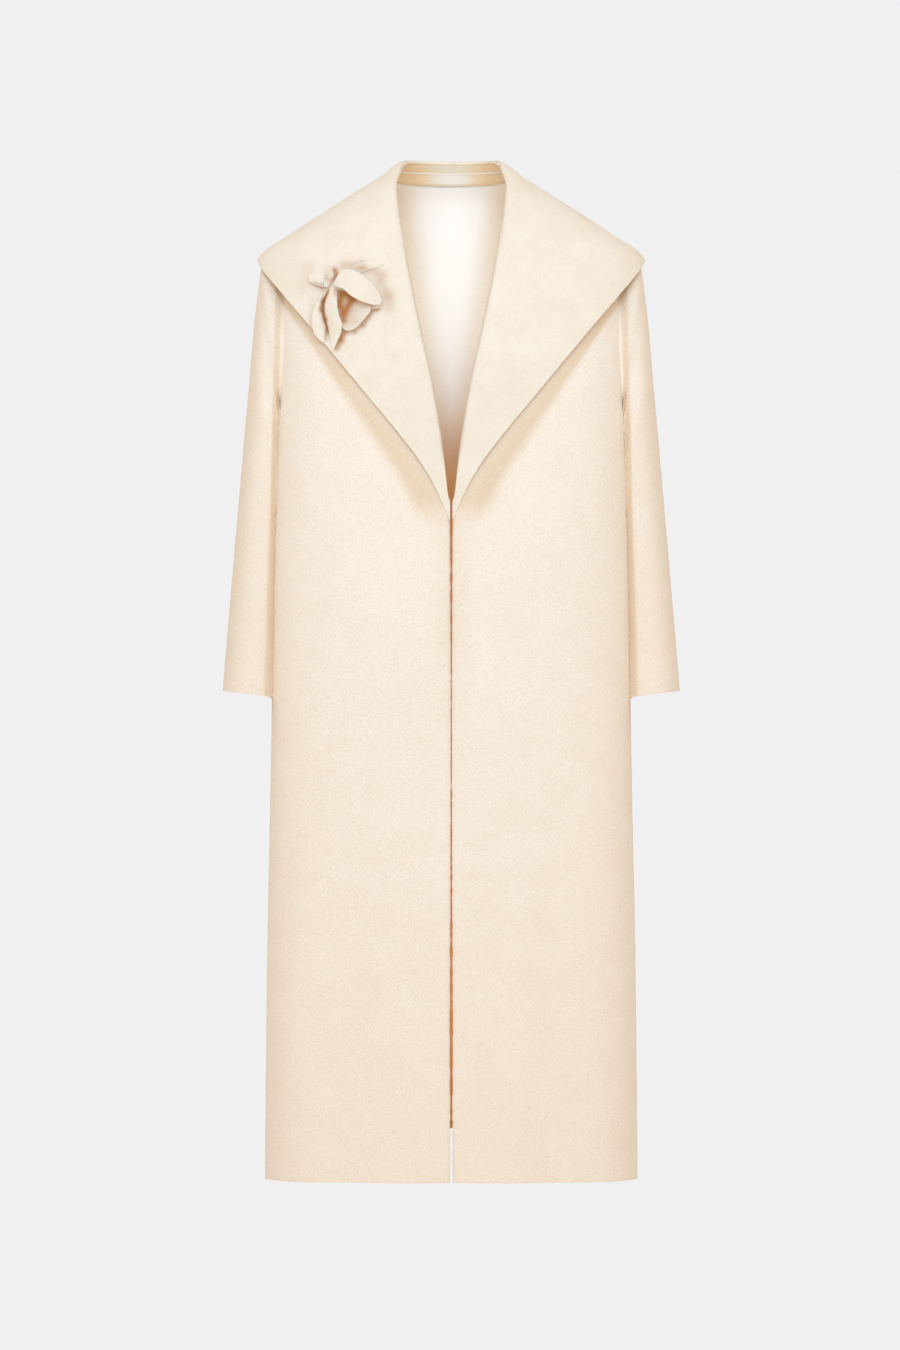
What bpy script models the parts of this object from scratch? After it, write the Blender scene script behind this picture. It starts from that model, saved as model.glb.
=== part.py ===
"""Long edge-to-edge coat with a wide pointed collar, filled out as when worn.

Metres, +Z up, the front faces -Y. The origin is the middle of the neck opening at the height
of the neck-side points, where the wearer's neck and shoulders carry the coat.

The torso of the coat is one smooth form. A place on it is given by a height z and an angle
phi: 0 degrees is centre front, 90 the side seam and shoulder ridge, 180 centre back. Each
panel is a grid cut from this form and given its wall by Solidify. The collar lies on a
second, wider form of the same kind.
"""
import math

import bmesh
import bpy
import numpy as np

# ---- cloth -------------------------------------------------------------------------------
BOUCLE = 0.0026            # wall of the looped wool cloth
COLLAR_CLOTH = 0.0030      # two layers of felted wool, pressed together
LINING = 0.0010
SATIN_BAND = 0.0013
PETAL_CLOTH = 0.0012
SEAM = 0.0003              # gap between neighbouring pieces
LEAN = 0.0004              # a wall's inner corner leans this far over a curved seam

# ---- lengths -----------------------------------------------------------------------------
HEM_FRONT = -1.2715        # hem at centre front
HEM_SIDE = -1.274
HEM_BACK = -1.226          # centre back is cut a little shorter than the front
HEM_BLEND_TOP = -1.10      # above this height the rows are level
BAND_JOIN = 0.0115
BAND_BOTTOM = -0.0035
HOOK_Z = -0.4225
HOOK_WIRE = 0.00045
EYE_X = 0.0036
EYE_RADIUS = 0.0022
BESIDE_BODY = 0.0042       # the sleeve hangs this far from the body's side
BREAK_Z = -0.4165          # lower end of the neck opening, where the collar starts to roll
NECK_Z = 0.002             # top row of the panels
UNDERARM_Z = -0.332
SHOULDER_Z = -0.086        # outer end of the shoulder seam
ARMHOLE_TURN = math.radians(25.0)   # how far the armhole reaches round to front and back

ROLL_DEPTH = 0.0045        # the inner leaf of the collar ends this far under its roll
ROLL_BEHIND = 0.006        # the roll's fold lies this far behind the collar's outer form
ROLL_HANDLE = 0.011        # how round the roll is
ROLL_LANDING = 0.016       # the roll meets the collar's outer form this far from the fold
PANEL_MARGIN = 0.0012      # the front panels stop this far short of the collar's inner leaf
EDGE_LIFT = 0.001          # the roll ends this far above the collar's lowest point
ROLL_SHARE = 0.45          # the roll takes up no more than this share of a rib
MIN_PANEL = math.radians(3.0)       # a front panel is never narrower than this
FIT_SHARE = 0.30           # the upper share of the sleeve that is eased into the armhole
EASE_SHARE = 0.12          # the share over which the sleeve leaves the armhole seam

# ---- how finely the solids are divided ------------------------------------------------------
ARMHOLE_STEPS = 8
BAND_COLUMNS = 12
PETAL_STEPS = 7
PETAL_COLUMNS = 5
FRONT_COLUMNS = 8
BACK_COLUMNS = 14
BODY_ROWS = (-1.18, -1.09, -0.99, -0.88, -0.77, -0.66, -0.56, -0.48, -0.425)
SHOULDER_ROWS = (-0.066, -0.046, -0.026, -0.010)
SLEEVE_RINGS = 13
COLLAR_BACK_RIBS = 8
COLLAR_FRONT_RIBS = 13
RIB_CROWDING = 1.35        # ribs stand closer towards the collar's tip
ROLL_STEPS = 4
FALL_STEPS = 6


def table(columns, *rows):
    """Named columns of numbers; the first column is the one that the others depend on."""
    values = np.array(rows, float).T
    return dict(zip(columns.split(), values))


# The coat's outer surface: at each height a half width, the depth of front and back from
# the side seam, and how square the section is (2 is an ellipse).
TORSO = table(
    "z       half_width front  back   square",
    (-1.275, 0.2385, 0.110, 0.106, 2.5),
    (-1.000, 0.2357, 0.111, 0.104, 2.5),
    (-0.700, 0.2297, 0.114, 0.102, 2.5),
    (-0.500, 0.2277, 0.118, 0.099, 2.6),
    (-0.340, 0.2262, 0.121, 0.105, 2.8),
    (-0.250, 0.2240, 0.121, 0.112, 3.0),
    (-0.170, 0.2215, 0.108, 0.114, 3.0),
    (-0.120, 0.2190, 0.093, 0.110, 2.9),
    (-0.086, 0.2130, 0.080, 0.103, 2.7),
    (-0.063, 0.1750, 0.072, 0.096, 2.6),
    (-0.038, 0.1345, 0.062, 0.087, 2.4),
    (-0.014, 0.0970, 0.050, 0.075, 2.2),
    (0.004, 0.0700, 0.040, 0.062, 2.0),
)

# The collar's outer surface, wide enough to lie over the sleeve heads.
COLLAR = table(
    "z       half_width front  back   square",
    (-0.420, 0.2720, 0.1266, 0.112, 2.5),
    (-0.340, 0.2680, 0.1305, 0.118, 2.6),
    (-0.250, 0.2620, 0.1305, 0.123, 2.7),
    (-0.180, 0.2580, 0.1210, 0.126, 2.7),
    (-0.140, 0.2560, 0.1110, 0.124, 2.7),
    (-0.115, 0.2535, 0.1035, 0.121, 2.7),
    (-0.101, 0.2465, 0.0995, 0.119, 2.6),
    (-0.0905, 0.2362, 0.0965, 0.1175, 2.6),
    (-0.0777, 0.2172, 0.0920, 0.115, 2.6),
    (-0.0522, 0.1800, 0.0825, 0.108, 2.5),
    (-0.0266, 0.1412, 0.0705, 0.099, 2.4),
    (-0.0087, 0.1130, 0.0595, 0.090, 2.3),
    (0.0067, 0.0910, 0.0485, 0.082, 2.2),
    (0.0170, 0.0815, 0.0400, 0.077, 2.1),
    (0.0250, 0.0745, 0.0340, 0.073, 2.0),
)

# Half width of the neck opening, from the break point up to the neck side: the roll line.
OPENING = table(
    "z       half_width",
    (-0.4165, 0.0012),
    (-0.4115, 0.0032),
    (-0.3803, 0.0067),
    (-0.3428, 0.0112),
    (-0.2715, 0.0224),
    (-0.2128, 0.0350),
    (-0.1403, 0.0499),
    (-0.0864, 0.0595),
    (-0.0395, 0.0670),
    (-0.0115, 0.0696),
)

# The same roll line carried on round the neck to centre back.
NECK_ROLL = table(
    "step    x       y        z",
    (0.0, 0.0696, -0.0440, -0.0115),
    (0.2, 0.0670, -0.0300, 0.0000),
    (0.4, 0.0640, -0.0140, 0.0110),
    (0.6, 0.0615, 0.0080, 0.0205),
    (0.8, 0.0585, 0.0330, 0.0282),
    (1.0, 0.0400, 0.0520, 0.0304),
    (1.2, 0.0000, 0.0605, 0.0308),
)

# Half the gap between the two front edges, below the break point.
FRONT_GAP = table(
    "z       half_gap",
    (-1.275, 0.0019),
    (-1.180, 0.0016),
    (-1.080, 0.0026),
    (-0.900, 0.0018),
    (-0.700, 0.0013),
    (-0.500, 0.0013),
    (-0.445, 0.0022),
    (-0.4165, 0.0012),
)

# The collar's front edge, from the break point out to the tip.
COLLAR_EDGE = table(
    "z       x",
    (-0.4110, 0.0075),
    (-0.3860, 0.0290),
    (-0.3530, 0.0490),
    (-0.3280, 0.0680),
    (-0.3030, 0.0900),
    (-0.2780, 0.1120),
    (-0.2530, 0.1320),
    (-0.2280, 0.1480),
    (-0.2030, 0.1710),
    (-0.1780, 0.1945),
    (-0.1530, 0.2165),
    (-0.1265, 0.2430),
)

# The collar's back edge, from the tip round to centre back.
COLLAR_BACK_EDGE = table(
    "phi     z",
    (64.3, -0.1265),
    (73.0, -0.1175),
    (84.0, -0.1120),
    (97.0, -0.1135),
    (116.0, -0.1280),
    (138.0, -0.1440),
    (160.0, -0.1560),
    (180.0, -0.1620),
)

# The two bands inside the back neck: half width and depth of the neck hole at a height.
NECK_HOLE = table(
    "z       half_width back   square",
    (-0.0040, 0.0682, 0.0565, 2.0),
    (0.0115, 0.0640, 0.0578, 2.2),
    (0.0260, 0.0590, 0.0586, 2.4),
)
BAND_TOP = table(
    "turn    z",
    (0.0, 0.0250),
    (35.0, 0.0242),
    (55.0, 0.0218),
    (72.0, 0.0165),
)

# The cloth flower on the left collar. Each petal spans two edges, a and b, from its root (0) to
# its tip (1). x and z are measured from the pin, h is the height above the collar, and bulge
# is how far the middle stands out from between the edges, or sinks in. Millimetres.
PETAL_COLUMN_NAMES = "step  ax     az     ah    bx     bz     bh    bulge"
PETALS = {
    "petal_upper_left": table(
        PETAL_COLUMN_NAMES,
        (0.00, -5.0, -1.0, 2.2, 0.0, 5.0, 2.2, 0.0),
        (0.35, -14.0, 0.0, 2.6, 2.5, 14.0, 3.2, 0.6),
        (0.70, -24.0, 4.0, 2.8, 1.0, 22.5, 3.4, 0.8),
        (0.90, -29.5, 10.0, 2.4, -9.0, 26.5, 2.8, 0.5),
        (1.00, -29.0, 15.0, 2.0, -19.0, 26.0, 2.0, 0.0),
    ),
    "petal_right": table(
        PETAL_COLUMN_NAMES,
        (0.00, 10.0, 16.0, 1.9, 16.0, 9.0, 1.9, 0.0),
        (0.50, 36.0, 30.0, 2.4, 42.0, 19.0, 2.2, 0.4),
        (0.85, 56.0, 33.0, 2.0, 60.0, 25.0, 2.0, 0.2),
        (1.00, 64.0, 32.5, 1.8, 66.0, 29.5, 1.8, 0.0),
    ),
    "petal_left": table(
        PETAL_COLUMN_NAMES,
        (0.00, -8.0, -5.0, 4.0, -4.0, -6.0, 4.0, 0.0),
        (0.20, -15.5, -14.0, 5.5, -9.5, -15.0, 3.0, 0.9),
        (0.40, -21.5, -25.0, 6.5, -12.8, -26.0, 2.4, 1.6),
        (0.60, -25.8, -41.0, 6.0, -10.5, -40.0, 2.2, 1.8),
        (0.80, -23.0, -57.0, 4.0, -7.5, -53.0, 2.2, 1.2),
        (0.93, -16.5, -67.0, 2.4, -8.5, -63.0, 2.0, 0.4),
        (1.00, -11.0, -71.0, 1.9, -9.0, -68.5, 1.9, 0.0),
    ),
    "petal_cup": table(
        PETAL_COLUMN_NAMES,
        (0.00, 4.0, -4.0, 2.0, 26.0, -8.0, 4.0, -0.8),
        (0.25, 5.0, -16.0, 2.0, 44.0, -20.0, 7.0, -2.4),
        (0.50, 6.0, -30.0, 2.0, 48.5, -30.0, 9.0, -3.0),
        (0.75, 9.0, -44.0, 2.2, 38.0, -45.0, 8.0, -2.5),
        (0.92, 14.0, -53.0, 3.0, 28.0, -54.5, 5.0, -1.0),
        (1.00, 18.0, -56.3, 3.5, 22.0, -56.7, 4.0, 0.0),
    ),
    "petal_back": table(
        PETAL_COLUMN_NAMES,
        (0.00, 40.0, -11.0, 1.8, 37.0, -18.0, 1.8, 0.0),
        (0.50, 53.0, -19.0, 2.6, 47.0, -28.0, 2.4, 0.4),
        (1.00, 62.5, -27.0, 5.0, 56.0, -32.5, 4.0, 0.6),
    ),
    "petal_centre": table(
        PETAL_COLUMN_NAMES,
        (0.00, -2.5, -3.0, 8.6, 3.0, -1.5, 8.6, 0.0),
        (0.12, -5.5, -11.0, 8.8, 6.0, -10.0, 8.0, 0.6),
        (0.30, -8.8, -24.0, 8.5, 7.0, -24.0, 7.0, 1.4),
        (0.45, -8.5, -36.0, 8.0, 9.0, -37.0, 7.5, 1.6),
        (0.60, -5.5, -48.0, 7.2, 13.0, -49.0, 8.2, 1.5),
        (0.75, -2.5, -61.0, 5.6, 11.5, -60.0, 6.6, 1.0),
        (0.90, -0.5, -75.0, 3.2, 5.5, -73.5, 3.8, 0.4),
        (1.00, 0.2, -84.0, 1.8, 1.6, -83.0, 1.8, 0.0),
    ),
    "petal_top": table(
        PETAL_COLUMN_NAMES,
        (0.00, 2.3, 4.0, 7.0, 3.5, -0.8, 9.2, 0.0),
        (0.20, 9.0, 16.0, 7.0, 13.0, -3.5, 14.5, 1.5),
        (0.40, 20.0, 21.5, 7.5, 25.0, -14.0, 18.0, 3.2),
        (0.60, 37.0, 15.0, 8.5, 36.0, -20.0, 19.0, 3.6),
        (0.80, 50.0, 3.5, 9.0, 46.0, -23.5, 17.0, 3.0),
        (0.93, 59.0, -9.0, 9.0, 54.0, -25.0, 13.5, 1.4),
        (1.00, 63.0, -19.0, 9.0, 61.0, -24.5, 10.5, 0.2),
    ),
}
PIN = (-0.1498, -0.1465)   # x and z of the flower's pin
BEADS = table(
    "x     z      h     radius",
    (-12.0, 5.0, 5.9, 2.2),
    (-8.5, 12.0, 6.0, 1.7),
    (-11.0, 0.4, 4.9, 1.6),
)

# The sleeve: a fan of rings, each with its outer and inner end and its depth along Y.
SLEEVE = table(
    "ring  outer_x outer_z  inner_x inner_z  centre_y half_depth square",
    (0.00, 0.2130, -0.086, 0.2264, -0.332, 0.000, 0.060, 2.2),
    (0.08, 0.2280, -0.095, 0.2290, -0.335, 0.001, 0.063, 2.4),
    (0.16, 0.2395, -0.113, 0.2310, -0.340, 0.003, 0.065, 2.3),
    (0.24, 0.2465, -0.140, 0.2320, -0.348, 0.006, 0.068, 2.3),
    (0.32, 0.2520, -0.180, 0.2325, -0.361, 0.009, 0.072, 2.4),
    (0.42, 0.2580, -0.250, 0.2320, -0.390, 0.015, 0.075, 2.4),
    (0.54, 0.2665, -0.340, 0.2310, -0.435, 0.023, 0.075, 2.4),
    (0.68, 0.2760, -0.445, 0.2310, -0.500, 0.029, 0.073, 2.3),
    (0.84, 0.2857, -0.555, 0.2315, -0.580, 0.032, 0.070, 2.3),
    (1.00, 0.2940, -0.654, 0.2325, -0.664, 0.030, 0.067, 2.3),
)

# Soft folds of the body: where they lie, how wide they are, how far they stand out at the
# hem, and the height at which they fade out. A minus sign on the depth makes a hollow.
FOLDS = table(
    "phi     width   depth   top",
    (17.0, 8.0, 0.0020, -0.45),
    (31.0, 8.0, -0.0030, -0.42),
    (49.0, 9.0, 0.0030, -0.45),
    (70.0, 9.0, -0.0020, -0.60),
    (104.0, 10.0, -0.0030, -0.55),
    (122.0, 10.0, 0.0035, -0.45),
    (142.0, 10.0, -0.0040, -0.40),
    (163.0, 11.0, 0.0035, -0.50),
)


# ---- curves through the tables -------------------------------------------------------------
def smooth(columns, name, at):
    """Monotone cubic through one column, so that a form never bulges past its own table."""
    x, y = list(columns.values())[0], columns[name]
    order = np.argsort(x)
    x, y = x[order], y[order]
    step = np.diff(x)
    slope = np.diff(y) / step
    tangent = np.zeros_like(y)
    same_way = slope[:-1] * slope[1:] > 0
    near, far = step[1:] + 2 * step[:-1], 2 * step[1:] + step[:-1]
    safe = np.where(same_way, slope[:-1] * slope[1:], 1.0)
    blend = (near + far) * safe / (near * slope[1:] + far * slope[:-1] + (~same_way))
    tangent[1:-1] = np.where(same_way, blend, 0.0)
    tangent[0], tangent[-1] = slope[0], slope[-1]
    at = np.clip(np.asarray(at, float), x[0], x[-1])
    cell = np.clip(np.searchsorted(x, at, side="right") - 1, 0, len(x) - 2)
    t = (at - x[cell]) / step[cell]
    rise = (3 - 2 * t) * t * t
    start = t * (1 - t) ** 2 * step[cell] * tangent[cell]
    end = t * t * (t - 1) * step[cell] * tangent[cell + 1]
    return y[cell] * (1 - rise) + y[cell + 1] * rise + start + end


def form(columns, z, phi):
    """Points on a form at heights z and angles phi: superellipse sections stacked in z."""
    z, phi = np.broadcast_arrays(np.asarray(z, float), np.asarray(phi, float))
    square = smooth(columns, "square", z)
    ahead = np.cos(phi) > 0
    depth = np.where(ahead, smooth(columns, "front", z), smooth(columns, "back", z))
    reach = (np.abs(np.sin(phi)) ** square + np.abs(np.cos(phi)) ** square) ** (-1 / square)
    x = smooth(columns, "half_width", z) * reach * np.sin(phi)
    return np.stack([x, -depth * reach * np.cos(phi), z], axis=-1)


def angle_at_x(columns, z, x):
    """The angle at which the front of a form is x away from the middle."""
    width, square = smooth(columns, "half_width", z), smooth(columns, "square", z)
    across = np.clip(x / width, 1e-6, 0.9999)
    return np.arctan((across ** -square - 1) ** (-1 / square))


def angle_at_seam(z, gap):
    """How far from the side seam's 90 degrees a piece stops, to leave this gap."""
    return np.arctan(gap / smooth(TORSO, "front", z))


def fold_push(z, phi):
    """How far the soft folds move the body's cloth outwards; they grow towards the hem."""
    turn = np.degrees(np.abs(np.mod(phi + math.pi, 2 * math.pi) - math.pi))
    push = np.zeros(np.broadcast(z, phi).shape)
    for middle, width, depth, top in zip(*FOLDS.values()):
        fall = np.clip((top - z) / (top - HEM_FRONT), 0, 1)
        push += depth * fall * fall * (3 - 2 * fall) * np.exp(-(((turn - middle) / width) ** 2))
    return push


def hem_height(phi):
    """Height of the hem: level in front, rising smoothly to centre back."""
    turn = np.cos(phi)
    ahead = HEM_SIDE + (HEM_FRONT - HEM_SIDE) * turn ** 2
    behind = HEM_SIDE + (HEM_BACK - HEM_SIDE) * turn ** 2
    return np.where(turn > 0, ahead, behind)


def torso(z, phi):
    """Points on the coat's body, with its folds and its hem line."""
    z, phi = np.broadcast_arrays(np.asarray(z, float), np.asarray(phi, float))
    low = np.clip((HEM_BLEND_TOP - z) / (HEM_BLEND_TOP - HEM_FRONT), 0, None)
    z = z + low * (hem_height(phi) - HEM_FRONT)
    points = form(TORSO, z, phi)
    away = np.stack([np.sin(phi), -np.cos(phi), np.zeros_like(phi)], axis=-1)
    return points + fold_push(z, phi)[..., None] * away


def armhole_angle(z):
    """How far the armhole's edge lies from the side seam's 90 degrees, at a height z."""
    middle, half = (SHOULDER_Z + UNDERARM_Z) / 2, (SHOULDER_Z - UNDERARM_Z) / 2
    across = np.clip((z - middle) / half, -1, 1)
    return ARMHOLE_TURN * np.sqrt(1 - across ** 2)


def body_rows():
    """Heights of the panels' rows: hem, body, armhole, shoulder and neck."""
    turn = np.linspace(math.pi, 0, ARMHOLE_STEPS + 1)
    middle, half = (SHOULDER_Z + UNDERARM_Z) / 2, (SHOULDER_Z - UNDERARM_Z) / 2
    opening = (BREAK_Z - 0.002, BREAK_Z + 0.006)
    rows = (HEM_FRONT, *BODY_ROWS, *opening, *(middle + half * np.cos(turn)))
    return np.array((*rows, *SHOULDER_ROWS, NECK_Z))


def opening_half_width(z):
    """Where a front panel ends: at the slit, or under the collar's roll."""
    under_roll = smooth(OPENING, "half_width", z) + COLLAR_CLOTH + PANEL_MARGIN
    return np.where(z > BREAK_Z, under_roll, smooth(FRONT_GAP, "half_gap", z))


# ---- meshes --------------------------------------------------------------------------------
def material(name, colour, roughness, metallic=0.0):
    made = bpy.data.materials.new(name)
    made.use_nodes = True
    shader = made.node_tree.nodes["Principled BSDF"]
    shader.inputs["Base Color"].default_value = (*colour, 1.0)
    shader.inputs["Roughness"].default_value = roughness
    shader.inputs["Metallic"].default_value = metallic
    return made


def sheet(name, grid, wall, finish, closed=False):
    """An open surface through a grid of points, given its wall by Solidify.

    The grid runs so that its faces look outwards; the wall grows inwards from them. With
    closed, the last column joins the first, as on a tube.
    """
    rows, columns = grid.shape[:2]
    points = grid.reshape(-1, 3)
    last = columns if closed else columns - 1
    faces = [
        (r * columns + c, r * columns + (c + 1) % columns,
         (r + 1) * columns + (c + 1) % columns, (r + 1) * columns + c)
        for r in range(rows - 1)
        for c in range(last)
    ]
    mesh = bpy.data.meshes.new(name)
    mesh.from_pydata(points.tolist(), [], faces)
    mesh.materials.append(finish)
    mesh.shade_smooth()
    mesh.set_sharp_from_angle(angle=math.radians(50))
    piece = bpy.data.objects.new(name, mesh)
    coat.objects.link(piece)
    wall_modifier = piece.modifiers.new("wall", "SOLIDIFY")
    wall_modifier.thickness = wall
    wall_modifier.offset = -1.0
    return piece


def moved(grid, distance):
    """The grid moved along its own normals, outwards where the distance is positive."""
    normal = np.cross(np.gradient(grid, axis=1), np.gradient(grid, axis=0))
    return grid + distance * normal / np.linalg.norm(normal, axis=-1, keepdims=True)


def mirrored(grid):
    """The same grid on the other side, still facing outwards."""
    return (grid * (-1, 1, 1))[:, ::-1]


# ---- body ----------------------------------------------------------------------------------
def front_grid():
    """One front on the +X side, from its edge out to the side seam."""
    z = body_rows()
    inner = angle_at_x(TORSO, z, opening_half_width(z))
    outer = math.pi / 2 - np.maximum(armhole_angle(z), angle_at_seam(z, SEAM / 2 + LEAN))
    inner = np.minimum(inner, outer - MIN_PANEL)
    share = np.linspace(0, 1, FRONT_COLUMNS + 1)
    phi = inner[:, None] + (outer - inner)[:, None] * share
    return torso(z[:, None], phi)


def back_grid():
    """The back, from one side seam round to the other."""
    z = body_rows()
    first = math.pi / 2 + np.maximum(armhole_angle(z), angle_at_seam(z, SEAM / 2 + LEAN))
    share = np.linspace(0, 1, BACK_COLUMNS + 1)
    phi = first[:, None] + (2 * math.pi - 2 * first)[:, None] * share
    return torso(z[:, None], phi)


def make_body(cloth, satin):
    half = front_grid()
    sheet("front_right", half, BOUCLE, cloth)
    sheet("front_left", mirrored(half), BOUCLE, cloth)
    whole = back_grid()
    sheet("back", whole, BOUCLE, cloth)
    sheet("back_lining", moved(whole, -BOUCLE - 3 * SEAM)[1:-1, 2:-2], LINING, satin)


# ---- sleeves -------------------------------------------------------------------------------
def armhole_loop(turn):
    """The armhole's edge, from the shoulder forwards round to the shoulder again."""
    middle, half = (SHOULDER_Z + UNDERARM_Z) / 2, (SHOULDER_Z - UNDERARM_Z) / 2
    return torso(middle + half * np.cos(turn), math.pi / 2 - ARMHOLE_TURN * np.sin(turn))


def sleeve_oval(ring, turn):
    """The sleeve's oval rings, before they are fitted to the armhole and the body."""
    place = {name: smooth(SLEEVE, name, ring) for name in list(SLEEVE)[1:]}
    power = 2.0 / place["square"]
    up = np.sign(np.cos(turn)) * np.abs(np.cos(turn)) ** power
    fore = np.sign(np.sin(turn)) * np.abs(np.sin(turn)) ** power
    x = (place["outer_x"] * (1 + up) + place["inner_x"] * (1 - up)) / 2
    z = (place["outer_z"] * (1 + up) + place["inner_z"] * (1 - up)) / 2
    y = place["centre_y"] - place["half_depth"] * fore
    return np.stack([x, y, z], axis=-1)


def beside_body(points, gap):
    """Sleeve points moved sideways, where they must be, to lie clear of the body."""
    x, y, z = np.moveaxis(points, -1, 0)
    width, square = smooth(TORSO, "half_width", z), smooth(TORSO, "square", z)
    depth = np.where(y < 0, smooth(TORSO, "front", z), smooth(TORSO, "back", z))
    reach = np.clip(1 - np.abs(y / depth) ** square, 0, 1) ** (1 / square)
    return np.stack([np.maximum(x, width * reach + gap), y, z], axis=-1)


def sleeve_grid():
    """The sleeve on the +X side: rings from the armhole to the cuff."""
    ring = np.linspace(0, 1, SLEEVE_RINGS)[:, None]
    turn = np.linspace(0, 2 * math.pi, 2 * ARMHOLE_STEPS, endpoint=False)[None, :]
    points = sleeve_oval(ring, turn)
    fitted = np.clip(1 - ring / FIT_SHARE, 0, 1)[..., None] ** 1.5
    points = points + fitted * (armhole_loop(turn) - sleeve_oval(0.0, turn))
    points[0] += (2 * SEAM, 0, 0)
    gap = BESIDE_BODY * np.clip(ring / EASE_SHARE, 0.2, 1)
    points[1:] = beside_body(points, gap)[1:]
    return points


def make_sleeves(cloth):
    half = sleeve_grid()
    sheet("sleeve_right", half, BOUCLE, cloth, closed=True)
    sheet("sleeve_left", mirrored(half), BOUCLE, cloth, closed=True)


# ---- collar --------------------------------------------------------------------------------
def roll_line(share):
    """The fold from centre back (0) round the neck (1) and down to the break point (2)."""
    neck = 1.2 * (1 - np.clip(share, 0, 1))
    round_neck = np.stack([smooth(NECK_ROLL, axis, neck) for axis in "xyz"], axis=-1)
    top, bottom = OPENING["z"][-1], COLLAR_EDGE["z"][0] + EDGE_LIFT
    z = top + (bottom - top) * np.clip(share - 1, 0, 1)
    x = smooth(OPENING, "half_width", z)
    down_front = form(COLLAR, z, angle_at_x(COLLAR, z, x)) + (0, ROLL_BEHIND, 0)
    return np.where((share <= 1)[..., None], round_neck, down_front)


def collar_edge(share):
    """Height and angle of the collar's outer edge, shared out like the roll line."""
    tip, middle = COLLAR_BACK_EDGE["phi"][0], COLLAR_BACK_EDGE["phi"][-1]
    behind = middle + (tip - middle) * np.clip(share, 0, 1)
    z_behind = smooth(COLLAR_BACK_EDGE, "z", behind)
    top, bottom = COLLAR_EDGE["z"][-1], COLLAR_EDGE["z"][0]
    z_ahead = top + (bottom - top) * np.clip(share - 1, 0, 1)
    ahead = angle_at_x(COLLAR, z_ahead, smooth(COLLAR_EDGE, "x", z_ahead))
    back = share <= 1
    return np.where(back, z_behind, z_ahead), np.where(back, np.radians(behind), ahead)


def collar_ribs(share, roll_steps, fall_steps):
    """Ribs from inside the roll, over it and down to the collar's edge."""
    fold = roll_line(share)
    x, y, z = np.moveaxis(fold, -1, 0)
    edge_z, edge_phi = collar_edge(share)
    on_form = np.minimum(z, COLLAR["z"].max())
    start_phi = np.arctan2(np.maximum(x, 1e-6) / smooth(COLLAR, "half_width", on_form),
                           -y / np.where(y < 0, smooth(COLLAR, "front", on_form),
                                         smooth(COLLAR, "back", on_form)))
    length = np.linalg.norm(form(COLLAR, edge_z, edge_phi) - fold, axis=-1)
    landing = np.clip(ROLL_LANDING / length, 0, 0.5)[:, None]
    part = landing + (1 - landing) * np.linspace(0, 1, fall_steps + 1)[None, :]
    fall_z = on_form[:, None] + (edge_z - on_form)[:, None] * part
    fall_phi = start_phi[:, None] + (edge_phi - start_phi)[:, None] * part
    fall = form(COLLAR, fall_z, fall_phi)
    front = np.clip(share, 0, 1)[:, None]
    inward = np.concatenate([0 * front, front, front - 1], axis=1)
    inward /= np.linalg.norm(inward, axis=1, keepdims=True)
    root = fold + ROLL_DEPTH * inward
    reach = np.minimum(ROLL_HANDLE, ROLL_SHARE * length)[:, None]
    ahead = fall[:, 1] - fall[:, 0]
    ahead /= np.linalg.norm(ahead, axis=1, keepdims=True)
    handles = (root, root - reach * inward, fall[:, 0] - reach * ahead, fall[:, 0])
    t = np.linspace(0, 1, roll_steps, endpoint=False)[None, :, None]
    weights = ((1 - t) ** 3, 3 * t * (1 - t) ** 2, 3 * t * t * (1 - t), t ** 3)
    roll = sum(w * p[:, None, :] for w, p in zip(weights, handles))
    return np.concatenate([roll, fall], axis=1)


def make_collar(felt):
    behind = 1 - (1 - np.linspace(0, 1, COLLAR_BACK_RIBS)) ** RIB_CROWDING
    ahead = 1 + np.linspace(0, 1, COLLAR_FRONT_RIBS)[1:] ** RIB_CROWDING
    ribs = collar_ribs(np.concatenate([behind, ahead]), ROLL_STEPS, FALL_STEPS)
    ribs[0, :, 0] = SEAM / 2 + 2 * LEAN
    sheet("collar_right", ribs[:, ::-1], COLLAR_CLOTH, felt)
    sheet("collar_left", ribs * (-1, 1, 1), COLLAR_CLOTH, felt)


# ---- neck bands, hook and eye ----------------------------------------------------------------
def neck_band(low, high):
    """A strip of the neck hole's wall between two heights, facing the hole."""
    reach = BAND_TOP["turn"].max()
    turn = np.radians(np.linspace(-reach, reach, BAND_COLUMNS + 1))
    rim = smooth(BAND_TOP, "z", np.degrees(np.abs(turn)))
    z = np.stack([np.full_like(rim, low), np.minimum(high, rim)])
    power = 2.0 / smooth(NECK_HOLE, "square", z)
    x = smooth(NECK_HOLE, "half_width", z) * np.sign(turn) * np.abs(np.sin(turn)) ** power
    y = smooth(NECK_HOLE, "back", z) * np.abs(np.cos(turn)) ** power
    return np.stack([x, y, z], axis=-1)


def make_neck(satin):
    middle, top = BAND_JOIN, BAND_TOP["z"].max()
    sheet("neck_band_upper", neck_band(middle + SEAM / 2, top), SATIN_BAND, satin)
    sheet("neck_band_lower", neck_band(BAND_BOTTOM, middle - SEAM / 2), SATIN_BAND, satin)


def wire(name, points, radius, finish, cyclic=False):
    """A bent wire with round ends."""
    curve = bpy.data.curves.new(name, "CURVE")
    curve.dimensions = "3D"
    curve.bevel_depth = radius
    curve.bevel_resolution = 1
    curve.use_fill_caps = not cyclic
    spline = curve.splines.new("POLY")
    spline.points.add(len(points) - 1)
    for place, point in zip(spline.points, points):
        place.co = (*point, 1.0)
    spline.use_cyclic_u = cyclic
    curve.materials.append(finish)
    piece = bpy.data.objects.new(name, curve)
    coat.objects.link(piece)
    return piece


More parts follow.
